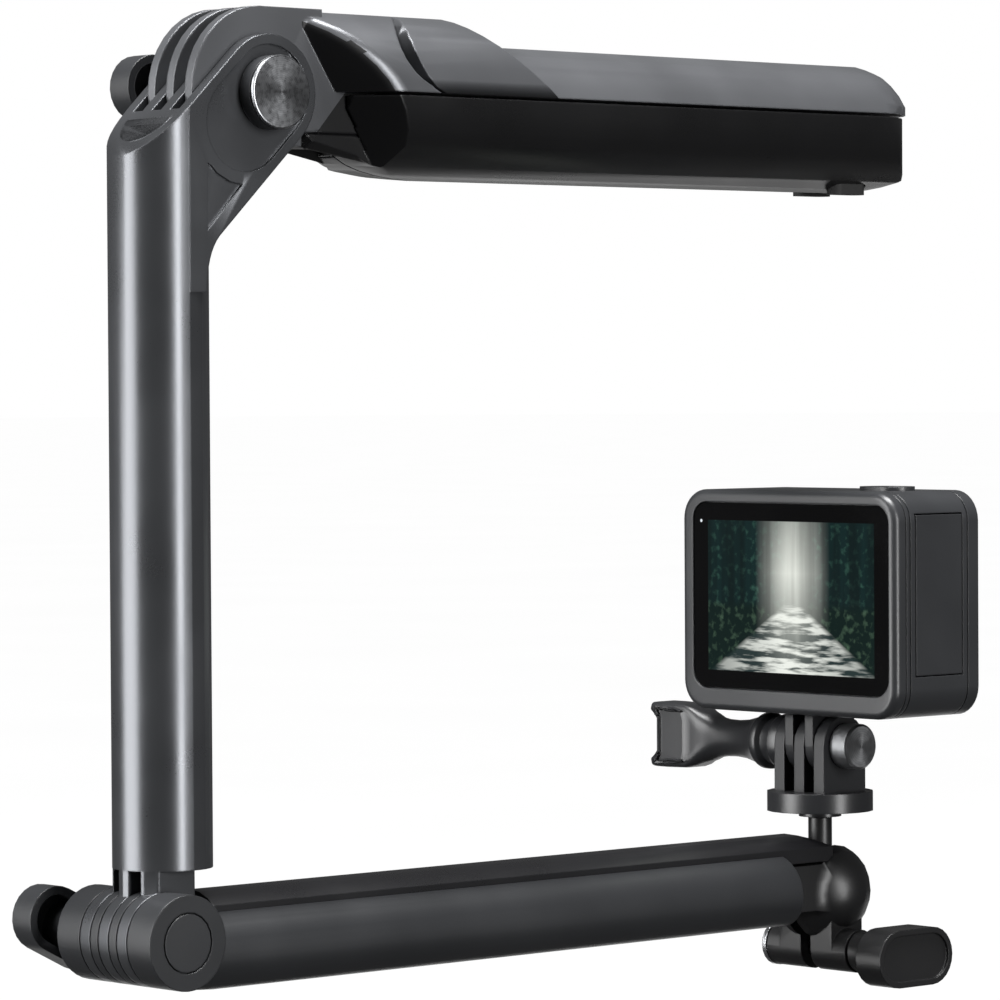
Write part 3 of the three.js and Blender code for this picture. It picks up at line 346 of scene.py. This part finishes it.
def board_green(name):
    """A circuit board: green lacquer with a grid of paler copper tracks."""
    paint = Paint(name)
    cells = paint.node("ShaderNodeTexVoronoi", distance="CHEBYCHEV")
    cells.inputs["Scale"].default_value = 260
    paint.link(paint.where, cells.inputs["Vector"])
    tracks = paint.spread(cells.outputs["Distance"], 0.0, 1.0, 0.42, 0.46)
    paint.link(paint.mix(tracks, (0.01, 0.09, 0.03), (0.30, 0.24, 0.09)), paint.shader.inputs["Base Color"])
    paint.link(paint.spread(tracks, 0.35, 0.25), paint.shader.inputs["Roughness"])
    return paint.material


# -------------------------------------------------------------------- pieces
def dress(node, material):
    """Gives a carried-over node its finish."""
    slots = frame["nodes"][node].data.materials
    slots.clear()
    slots.append(material)


def finish_piece(node, shape, *materials, crease=32.0):
    """Turns a bmesh in metres into the piece that stands for a node and rides on its body."""
    name = node + "_finished"
    mesh = bpy.data.meshes.new(name)
    shape.to_mesh(mesh)
    shape.free()
    for material in materials:
        mesh.materials.append(material)
    for polygon in mesh.polygons:
        polygon.use_smooth = True
    mesh.set_sharp_from_angle(angle=math.radians(crease))
    piece = bpy.data.objects.new(name, mesh)
    bpy.context.scene.collection.objects.link(piece)
    even = piece.modifiers.new("Even shading", "WEIGHTED_NORMAL")
    even.keep_sharp = True
    even.weight = 90
    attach(piece, BODY[node])
    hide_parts(node)


def merged_copy(node):
    """A node's mesh with its loose triangles joined and its flat faces whole."""
    shape = bmesh.new()
    shape.from_mesh(frame["nodes"][node].data)
    bmesh.ops.remove_doubles(shape, verts=shape.verts, dist=2e-6)
    bmesh.ops.dissolve_limit(shape, angle_limit=math.radians(0.4), verts=shape.verts, edges=shape.edges,
                             delimit={"NORMAL"})
    return shape


def refined(node, material):
    """A piece that keeps a node's shape and gets smooth shading and its finish."""
    finish_piece(node, merged_copy(node), material)


def is_slanted(face):
    """True on the slanted faces that lead from the flat cheeks out to the round grip."""
    normal = face.normal.copy()
    normal.y = -abs(normal.y)
    return normal.angle(SLANT) < 0.12 and abs(face.calc_center_median().y) > CHEEK - 0.3 * MM


def round_slants(shape, radius):
    """Rounds the edges where the slanted faces meet the grip's outer surface."""
    edges = []
    for edge in shape.edges:
        if len(edge.link_faces) != 2:
            continue
        slanted = [is_slanted(face) for face in edge.link_faces]
        if slanted[0] == slanted[1]:
            continue
        other = edge.link_faces[slanted.index(False)]
        centre = other.calc_center_median()
        flat_seam = abs(other.normal.z) > 0.97 and abs(centre.z) < 1 * MM
        cheek = abs(other.normal.y) > 0.98 and abs(centre.y) < CHEEK + 0.2 * MM
        if not flat_seam and not cheek and other.normal.x > -0.3:
            edges.append(edge)
    bmesh.ops.bevel(shape, geom=edges, offset=radius, segments=5, profile=0.5, affect="EDGES",
                    material=-1, clamp_overlap=True)


def slice_across(shape, place, normal):
    """Adds edges where a plane crosses the shape."""
    bmesh.ops.bisect_plane(shape, geom=shape.verts[:] + shape.edges[:] + shape.faces[:],
                           plane_co=place, plane_no=normal)


def rounded_slab(x0, x1, low, high, corner, rim=0.0):
    """A block along X with rounded long edges, and a rounded rim at x0 where one is asked for."""
    slab = bmesh.new()
    bmesh.ops.create_cube(slab, size=1)
    size = (x1 - x0, high[0] - low[0], high[1] - low[1])
    bmesh.ops.scale(slab, vec=size, verts=slab.verts)
    bmesh.ops.translate(slab, vec=((x0 + x1) / 2, (low[0] + high[0]) / 2, (low[1] + high[1]) / 2),
                        verts=slab.verts)
    long_edges = [edge for edge in slab.edges if abs(edge.verts[0].co.x - edge.verts[1].co.x) > 1e-6]
    bmesh.ops.bevel(slab, geom=long_edges, offset=corner, segments=10, profile=0.5, affect="EDGES",
                    material=-1)
    if rim:
        back = [edge for edge in slab.edges if all(abs(vert.co.x - x0) < 1e-6 for vert in edge.verts)]
        bmesh.ops.bevel(slab, geom=back, offset=rim, segments=5, profile=0.5, affect="EDGES",
                        material=-1)
    return slab


def spun(outline, centre, steps):
    """A turned shape about an axis along Y, from an outline of (radius, y) in millimetres."""
    shape = bmesh.new()
    cosine, sine = math.cos(math.pi / steps), math.sin(math.pi / steps)
    points = [shape.verts.new((radius * cosine, y, radius * sine)) for radius, y in outline]
    for one, other in zip(points, points[1:]):
        shape.edges.new((one, other))
    bmesh.ops.spin(shape, geom=shape.verts[:] + shape.edges[:], axis=(0, 1, 0), cent=(0, 0, 0),
                   angle=2 * math.pi, steps=steps, use_merge=True)
    bmesh.ops.remove_doubles(shape, verts=shape.verts, dist=0.001)
    bmesh.ops.translate(shape, vec=(centre[0], 0, centre[1]), verts=shape.verts)
    bmesh.ops.scale(shape, vec=(MM, MM, MM), verts=shape.verts)
    bmesh.ops.recalc_face_normals(shape, faces=shape.faces)
    return shape


def squared_ring(shape, centre, y, half_x, half_z, square, count=64):
    """A ring across Y in millimetres: a circle at squareness 2, and boxier above it."""
    verts = bmesh.ops.create_circle(shape, segments=count, radius=1)["verts"]
    for vert in verts:
        angle = math.atan2(vert.co.y, vert.co.x) + math.pi / count
        cosine, sine = math.cos(angle), math.sin(angle)
        x = math.copysign(abs(cosine) ** (2 / square), cosine) * half_x
        z = math.copysign(abs(sine) ** (2 / square), sine) * half_z
        vert.co = (centre[0] + x, y, centre[1] + z)
    return verts


def ring_edges(verts):
    """The edges of a ring, and no others that touch it."""
    return [edge for edge in {edge for vert in verts for edge in vert.link_edges}
            if all(vert in verts for vert in edge.verts)]


def join_shapes(*shapes):
    """One bmesh holding all the given ones."""
    whole = bmesh.new()
    for shape in shapes:
        held = bpy.data.meshes.new("held")
        shape.to_mesh(held)
        shape.free()
        whole.from_mesh(held)
        bpy.data.meshes.remove(held)
    return whole


# ----------------------------------------------------------------- operators
class GRIP_OT_hub(bpy.types.Operator):
    """Finish the grip's hub and its pins"""
    bl_idname = "camera_arm.hub"
    bl_label = "Hub"

    def execute(self, context):
        own = context.scene.grip_settings
        grey = satin("hub_satin", own.hub_colour, own.hub_roughness, metallic=0.55, edge=0.0005)
        # The black's edges are painted three times lighter: partly edge wear, partly a painted highlight.
        black = satin("hub_black", own.leg_colour, 0.45, edge=0.0005, edge_wear_and_highlight=3.0, specular=0.25)
        shape = merged_copy("grip_hub")
        drum_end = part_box("grip_hub")[0].x + 18 * MM
        for face in shape.faces:
            centre = face.calc_center_median()
            on_cheek = abs(face.normal.y) > 0.98 and CHEEK - 0.4 * MM < abs(centre.y) < CHEEK
            below = centre.z < 0.3 * MM and centre.x > drum_end + 2 * MM
            if is_slanted(face) or (on_cheek and centre.x > drum_end) or below:
                face.material_index = 1
        round_slants(shape, own.slant)
        finish_piece("grip_hub", shape, grey, black)
        steel = plain_metal("pin_steel", (0.52, 0.53, 0.55))
        for node in ("top_leg_pin", "front_leg_pin", "back_leg_pin"):
            dress(node, steel)
        return {"FINISHED"}


class GRIP_OT_legs(bpy.types.Operator):
    """Finish the grip's three legs and their pads"""
    bl_idname = "camera_arm.legs"
    bl_label = "Legs"

    def execute(self, context):
        own = context.scene.grip_settings
        grey = satin("leg_satin", own.hub_colour, own.hub_roughness, metallic=0.55, edge=0.0005)
        # Edges painted over twice as light: partly edge wear, partly a painted highlight.
        black = satin("leg_black", own.leg_colour, 0.3, edge=0.0006, edge_wear_and_highlight=2.2)
        rubber = satin("pad_rubber", (0.012, 0.012, 0.012), 0.75, grain=0.00006, grain_scale=1500)
        finish_piece("top_leg", self.domed_top_leg(own.tip), grey)
        # Edges painted two and a half times as light: partly edge wear, partly a painted highlight.
        deep = satin("leg_deep", own.leg_colour, 0.5, edge=0.0006, edge_wear_and_highlight=2.5, specular=0.2)
        for node in ("front_leg", "back_leg"):
            shape = merged_copy(node)
            for face in shape.faces:
                if is_slanted(face):
                    face.material_index = 1
            round_slants(shape, own.slant)
            finish_piece(node, shape, black, deep)
            refined(node + "_pad", rubber)
        return {"FINISHED"}

    def domed_top_leg(self, tip):
        """The top leg with its end drawn down to an ellipsoid over the length of the tip."""
        shape = merged_copy("top_leg")
        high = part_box("top_leg")[1]
        start = high.x - tip
        cuts = 10
        for step in range(cuts):
            slice_across(shape, (start + tip * (1 - (1 - step / cuts) ** 2), 0, 0), (1, 0, 0))
        for across in range(-12, 13, 4):
            slice_across(shape, (0, across * MM, 0), (0, 1, 0))
        height = 12.4 * MM
        rim = 2.2 * MM
        for vert in shape.verts:
            along = (vert.co.x - start) / tip
            if along > 0 and vert.co.z > rim:
                left = 1 - along ** 2 - (vert.co.y / high.y) ** 2
                vert.co.z = min(vert.co.z, max(rim, height * math.sqrt(max(0.0, left))))
        return shape


class ARM_OT_middle(bpy.types.Operator):
    """Finish the tubular middle arm"""
    bl_idname = "camera_arm.middle"
    bl_label = "Middle arm"

    def execute(self, context):
        own = context.scene.arm_settings
        grey = satin("arm_anodised", own.tube_colour, own.tube_roughness, metallic=0.75, grain=0.000012,
                     edge=0.0004)
        refined("middle_arm", grey)
        return {"FINISHED"}


class ARM_OT_hinges(bpy.types.Operator):
    """Finish both hinges: bolts, caps, washers and knobs"""
    bl_idname = "camera_arm.hinges"
    bl_label = "Hinges"

    def execute(self, context):
        own = context.scene.arm_settings
        dark = satin("knob_dark", (0.022, 0.023, 0.025), 0.34, edge=0.0004)
        steel = plain_metal("hinge_steel", (0.5, 0.51, 0.53))
        brass = plain_metal("nut_brass", (0.62, 0.43, 0.17))
        low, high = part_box("upper_bolt_cap")
        centre = (low + high) / 2
        near, far = low.y / MM, high.y / MM
        size = (high.x - low.x) / 2 / MM
        cap = spun([(0, near), (size - 0.5, near), (size - 0.2, near + 0.15), (size, near + 0.5), (size, far),
                    (0, far)], (centre.x / MM, centre.z / MM), 96)
        finish_piece("upper_bolt_cap", cap, turned("cap_turned", own.cap_colour, centre))
        refined("upper_hinge_bolt", dark)
        refined("upper_spacer", steel)
        refined("lower_washer", steel)
        refined("lower_bolt_cap", dark)
        dress("lower_hinge_bolt", steel)
        for node in ("upper_knob", "lower_knob"):
            refined(node, dark)
            dress(node + "_nut", brass)
        return {"FINISHED"}


class ARM_OT_lower(bpy.types.Operator):
    """Finish the lower arm's shell and cover"""
    bl_idname = "camera_arm.lower"
    bl_label = "Lower arm"

    def execute(self, context):
        own = context.scene.arm_settings
        refined("lower_arm_shell", satin("shell_dark", own.shell_colour, 0.36, metallic=0.2, edge=0.0004))
        refined("lower_arm_cover", satin("cover_black", own.cover_colour, 0.3, edge=0.0004))
        return {"FINISHED"}


class HEAD_OT_socket(bpy.types.Operator):
    """Finish the ball, its two jaws and the clamp"""
    bl_idname = "camera_arm.socket"
    bl_label = "Ball socket"

    def execute(self, context):
        black = satin("jaw_black", (0.006, 0.006, 0.0065), 0.4, edge=0.0003)
        knob = satin("clamp_black", (0.009, 0.009, 0.0095), 0.36, edge=0.0004)
        steel = plain_metal("clamp_steel", (0.55, 0.56, 0.58))
        for node in ("socket_front_jaw", "socket_back_jaw"):
            refined(node, black)
        refined("clamp_knob", knob)
        refined("clamp_bolt", steel)
        refined("ball", steel)
        refined("ball_stem", black)
        return {"FINISHED"}


class HEAD_OT_mount(bpy.types.Operator):
    """Finish the finger mount and its thumb screw"""
    bl_idname = "camera_arm.mount"
    bl_label = "Finger mount"

    def execute(self, context):
        own = context.scene.arm_settings
        dark = satin("mount_dark", (0.015, 0.0155, 0.017), 0.34, edge=0.0003)
        refined("mount_head", dark)
        refined("camera_fingers", dark)
        finish_piece("thumb_knob", self.knob_shape(own.shank / MM), dark, crease=40)
        low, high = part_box("thumb_nut")
        shaft = (low + high) / 2
        near, far = low.y / MM, high.y / MM
        nut = spun([(0, near), (4.5, near), (5.0, near + 0.5), (5.0, far), (THUMB_BORE, far),
                    (THUMB_BORE, far - 3.4), (0, far - 3.4)], (shaft.x / MM, shaft.z / MM), 64)
        finish_piece("thumb_nut", nut, turned("thumb_steel", (0.30, 0.305, 0.315), shaft, 0.0005, 0.36))
        refined("thumb_bolt", plain_metal("bolt_steel", (0.5, 0.51, 0.53)))
        return {"FINISHED"}

    def knob_shape(self, shank):
        """The thumb screw's handle: collar, groove, bead, waisted shank and forked paddle."""
        low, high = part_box("thumb_knob")
        near, far = low.y / MM, high.y / MM
        centre = ((low.x + high.x) / 2 / MM, (low.z + high.z) / 2 / MM)
        tall = (high.z - low.z) / 2 / MM
        thick = 4.2
        # Round stretches as (y, radius), from the bottom of the bore out to the shank.
        round_part = ((20.4, THUMB_BORE), (near, THUMB_BORE), (near, 5.7), (near + 0.3, 6.0), (10.3, 6.2),
                      (10.7, 6.0), (12.7, 5.3), (13.4, 5.3), (14.2, 6.1), (14.6, 6.3), (15.8, 6.3),
                      (16.4, 6.0), (17.4, 5.4), (19.0, shank + 0.9), (21.5, shank + 0.3), (25.0, shank))
        # Where it widens into the paddle: (y, half thickness, half height, squareness).
        flat_part = ((28.5, shank, shank + 0.1, 2), (31.0, shank, shank + 0.5, 2.2),
                     (33.0, shank, shank + 1.3, 2.6), (35.0, thick, 5.9, 3.6), (37.0, thick, tall - 0.7, 6),
                     (39.0, thick, tall - 0.2, 9), (42.0, thick, tall - 0.1, 9), (45.0, thick, tall, 9),
                     (48.6, thick, tall, 9), (49.5, thick - 0.1, tall - 0.1, 9),
                     (far, thick - 0.5, tall - 0.5, 9))
        sections = [(y, radius, radius, 2) for y, radius in round_part] + list(flat_part)
        shape = bmesh.new()
        rings = [squared_ring(shape, centre, *section) for section in sections]

        # A round hollow in the far end draws the paddle's rings in towards the shank.
        fork_start = 33.0
        hollow_radius = 6.4
        hollow_axis = far + 3.2
        for ring in rings:
            for vert in ring:
                if vert.co.y > fork_start:
                    reach = math.sqrt(max(0.0, hollow_radius ** 2 - (vert.co.z - centre[1]) ** 2))
                    share = (vert.co.y - fork_start) / (far - fork_start)
                    vert.co.y = fork_start + share * (min(far, hollow_axis - reach) - fork_start)

        loops = [ring_edges(ring) for ring in rings]
        for one, other in zip(loops, loops[1:]):
            bmesh.ops.bridge_loops(shape, edges=one + other)
        bmesh.ops.edgeloop_fill(shape, edges=loops[0])
        sides = [edge for edge in loops[-1]
                 if (edge.verts[0].co.x - centre[0]) * (edge.verts[1].co.x - centre[0]) > 0]
        bmesh.ops.bridge_loops(shape, edges=sides)
        bmesh.ops.scale(shape, vec=(MM, MM, MM), verts=shape.verts)
        bmesh.ops.recalc_face_normals(shape, faces=shape.faces)

        # A raised rim round a sunk panel on both faces of the paddle.
        for side in (-1, 1):
            shape.normal_update()
            panel = [face for face in shape.faces if face.normal.x * side > 0.985
                     and 38.0 * MM < face.calc_center_median().y < 48.4 * MM]
            for inwards, outwards in ((0.5, 0.3), (0.3, 0.0), (0.3, -0.7)):
                bmesh.ops.inset_region(shape, faces=panel, thickness=inwards * MM, depth=outwards * MM,
                                       use_even_offset=False)
        return shape


class CAMERA_OT_body(bpy.types.Operator):
    """Finish the action camera's body, door and buttons"""
    bl_idname = "camera_arm.camera_body"
    bl_label = "Camera body"

    def execute(self, context):
        own = context.scene.camera_settings
        dark = satin("camera_satin", own.body_colour, 0.34, edge=0.0004)
        finish_piece("camera_rear_shell", self.rear_shell(own.edge), dark)
        for node in ("camera_frame", "camera_front_shell", "side_door", "shutter_button", "power_button"):
            refined(node, dark)
        dress("camera_battery", satin("cell_wrap", (0.05, 0.05, 0.06), 0.4))
        dress("circuit_board", board_green("board_green"))
        return {"FINISHED"}

    def rear_shell(self, rim):
        """The rear shell: a rim round the screen, two thin grooves and a narrow band between them."""
        low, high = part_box("camera_rear_shell")
        corner = 6.6 * MM
        groove = 0.35 * MM
        line = 0.25 * MM
        band = 1.3 * MM

        def slab(x0, x1, inset=0.0, rim=0.0):
            return rounded_slab(x0, x1, (low.y + inset, low.z + inset), (high.y - inset, high.z - inset),
                                corner - inset, rim)

        shape = slab(low.x, high.x - band, rim=rim)
        back = min(shape.faces, key=lambda face: (round(face.calc_center_median().x, 6), -face.calc_area()))
        bmesh.ops.inset_individual(shape, faces=[back], thickness=0.6 * MM)
        # The recess for the glass: the inset face takes the glass's outline and sinks in.
        glass_low, glass_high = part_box("screen_glass")
        for axis in (1, 2):
            start = min(vert.co[axis] for vert in back.verts)
            end = max(vert.co[axis] for vert in back.verts)
            first, last = glass_low[axis] - line, glass_high[axis] + line
            for vert in back.verts:
                vert.co[axis] = first + (vert.co[axis] - start) / (end - start) * (last - first)
        sunk = bmesh.ops.extrude_discrete_faces(shape, faces=[back])["faces"][0]
        bmesh.ops.translate(shape, vec=(1.25 * MM, 0, 0), verts=sunk.verts)
        return join_shapes(shape, slab(high.x - 2 * MM, high.x, inset=groove),
                           slab(high.x - band + line, high.x))


class CAMERA_OT_glass(bpy.types.Operator):
    """Finish the camera's screen, lens and front display"""
    bl_idname = "camera_arm.camera_glass"
    bl_label = "Screen and lens"

    def execute(self, context):
        own = context.scene.camera_settings
        low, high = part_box("display_panel")
        picture = screen_picture("screen_picture", (low[1], low[2]), (high[1], high[2]), own.picture_light)
        refined("screen_glass", picture)
        dress("display_panel", picture)
        barrel = satin("barrel_black", (0.014, 0.014, 0.015), 0.3, edge=0.0003)
        refined("lens_barrel", barrel)
        refined("lens_glass", clear_glass("lens_clear", (0.006, 0.008, 0.014)))
        refined("front_display", clear_glass("front_clear", (0.006, 0.006, 0.007)))
        return {"FINISHED"}


def area_light(name, place, target, width, height, power):
    """A soft rectangular light that the camera doesn't see."""
    lamp = bpy.data.lights.new(name, "AREA")
    lamp.shape = "RECTANGLE"
    lamp.size = width
    lamp.size_y = height
    lamp.energy = power
    made = bpy.data.objects.new(name, lamp)
    made.location = place
    made.rotation_euler = (Vector(target) - Vector(place)).to_track_quat("-Z", "Y").to_euler()
    made.visible_camera = False
    bpy.context.scene.collection.objects.link(made)


class STAGE_OT_studio(bpy.types.Operator):
    """Build the floor, the soft lights and the camera"""
    bl_idname = "camera_arm.studio"
    bl_label = "Studio"

    def execute(self, context):
        own = context.scene.stage_settings
        self.build_floor(context, own.floor_drop)
        self.build_world(context)
        middle = (-0.03, 0, -0.08)
        area_light("key", (-1.15, 0.45, 0.05), middle, 0.8, 1.3, own.key)
        area_light("side", (0.05, -1.25, 0.0), middle, 0.3, 1.1, own.side)
        area_light("top", (-0.1, -0.1, 1.15), middle, 1.2, 0.5, own.top)
        area_light("under", (0.8, 0.75, -0.55), middle, 1.4, 0.35, own.under)
        self.build_camera(context, own.lens)
        context.scene.view_settings.view_transform = "Standard"
        return {"FINISHED"}

    def build_floor(self, context, drop):
        """A pale disc that reflections don't see, so that dark surfaces keep their depth."""
        shape = bmesh.new()
        bmesh.ops.create_circle(shape, cap_ends=True, segments=96, radius=40)
        bmesh.ops.translate(shape, vec=(0, 0, -drop), verts=shape.verts)
        mesh = bpy.data.meshes.new("floor")
        shape.to_mesh(mesh)
        shape.free()
        pale = Paint("floor_pale")
        mottle = pale.noise(3, 3.0)
        pale.link(pale.mix(mottle, (0.97, 0.97, 0.97), (1, 1, 1)), pale.shader.inputs["Emission Color"])
        pale.set(Base_Color=(0.05, 0.05, 0.05, 1), Roughness=0.9, Specular_IOR_Level=0.0,
                 Emission_Strength=1.0)
        mesh.materials.append(pale.material)
        floor = bpy.data.objects.new("floor", mesh)
        floor.visible_glossy = False
        floor.visible_diffuse = False
        context.scene.collection.objects.link(floor)

    def build_world(self, context):
        """White where the camera looks, and nearly dark to everything else."""
        world = bpy.data.worlds.new("studio")
        world.use_nodes = True
        tree = world.node_tree
        seen = tree.nodes["Background"]
        unseen = tree.nodes.new("ShaderNodeBackground")
        for background, strength in ((seen, 1.0), (unseen, 0.08)):
            background.inputs["Color"].default_value = (1, 1, 1, 1)
            background.inputs["Strength"].default_value = strength
        path = tree.nodes.new("ShaderNodeLightPath")
        choose = tree.nodes.new("ShaderNodeMixShader")
        tree.links.new(path.outputs["Is Camera Ray"], choose.inputs["Fac"])
        tree.links.new(unseen.outputs[0], choose.inputs[1])
        tree.links.new(seen.outputs[0], choose.inputs[2])
        tree.links.new(choose.outputs[0], tree.nodes["World Output"].inputs["Surface"])
        context.scene.world = world

    def build_camera(self, context, focal_length):
        """The camera, from its turn about Z, its tilt down and its roll."""
        turn, tilt, roll = (math.radians(value) for value in VIEW_ANGLES)
        level_right = Vector((math.cos(turn), -math.sin(turn), 0))
        level_forward = Vector((math.sin(turn), math.cos(turn), 0))
        up = Vector((0, 0, 1))
        forward = level_forward * math.cos(tilt) - up * math.sin(tilt)
        tilted_up = up * math.cos(tilt) + level_forward * math.sin(tilt)
        right = level_right * math.cos(roll) + tilted_up * math.sin(roll)
        upright = tilted_up * math.cos(roll) - level_right * math.sin(roll)
        lens = bpy.data.cameras.new("camera")
        lens.lens = focal_length
        lens.sensor_width = SENSOR_WIDTH
        lens.clip_start = 0.05
        lens.clip_end = 100
        camera = bpy.data.objects.new("camera", lens)
        facing = Matrix((right, upright, -forward)).transposed().to_4x4()
        camera.matrix_world = Matrix.Translation(VIEW_PLACE) @ facing
        context.scene.collection.objects.link(camera)
        context.scene.camera = camera


class CAMERA_ARM_PT_panel(bpy.types.Panel):
    """Lists the arm's pieces and their settings"""
    bl_idname = "CAMERA_ARM_PT_panel"
    bl_label = "Camera Arm"
    bl_space_type = "VIEW_3D"
    bl_region_type = "UI"
    bl_category = "Camera Arm"

    def draw(self, context):
        for name, group in GROUPS.items():
            box = self.layout.box()
            for key in group.__annotations__:
                box.prop(getattr(context.scene, name), key)
        for step in STEPS:
            self.layout.operator(step.bl_idname)


GROUPS = {
    "grip_settings": GripSettings,
    "arm_settings": ArmSettings,
    "camera_settings": CameraSettings,
    "stage_settings": StageSettings,
}
STEPS = (
    GRIP_OT_hub,
    GRIP_OT_legs,
    ARM_OT_middle,
    ARM_OT_hinges,
    ARM_OT_lower,
    HEAD_OT_socket,
    HEAD_OT_mount,
    CAMERA_OT_body,
    CAMERA_OT_glass,
    STAGE_OT_studio,
)


def register():
    for group in GROUPS.values():
        bpy.utils.register_class(group)
    for step in STEPS:
        bpy.utils.register_class(step)
    bpy.utils.register_class(CAMERA_ARM_PT_panel)
    for name, group in GROUPS.items():
        setattr(bpy.types.Scene, name, PointerProperty(type=group))


def unregister():
    for name in GROUPS:
        delattr(bpy.types.Scene, name)
    bpy.utils.unregister_class(CAMERA_ARM_PT_panel)
    for step in reversed(STEPS):
        bpy.utils.unregister_class(step)
    for group in reversed(GROUPS.values()):
        bpy.utils.unregister_class(group)


def main():
    register()
    bpy.ops.camera_arm.hub()
    bpy.ops.camera_arm.legs()
    bpy.ops.camera_arm.middle()
    bpy.ops.camera_arm.hinges()
    bpy.ops.camera_arm.lower()
    bpy.ops.camera_arm.socket()
    bpy.ops.camera_arm.mount()
    bpy.ops.camera_arm.camera_body()
    bpy.ops.camera_arm.camera_glass()
    bpy.ops.camera_arm.studio()


if __name__ == "__main__":
    main()
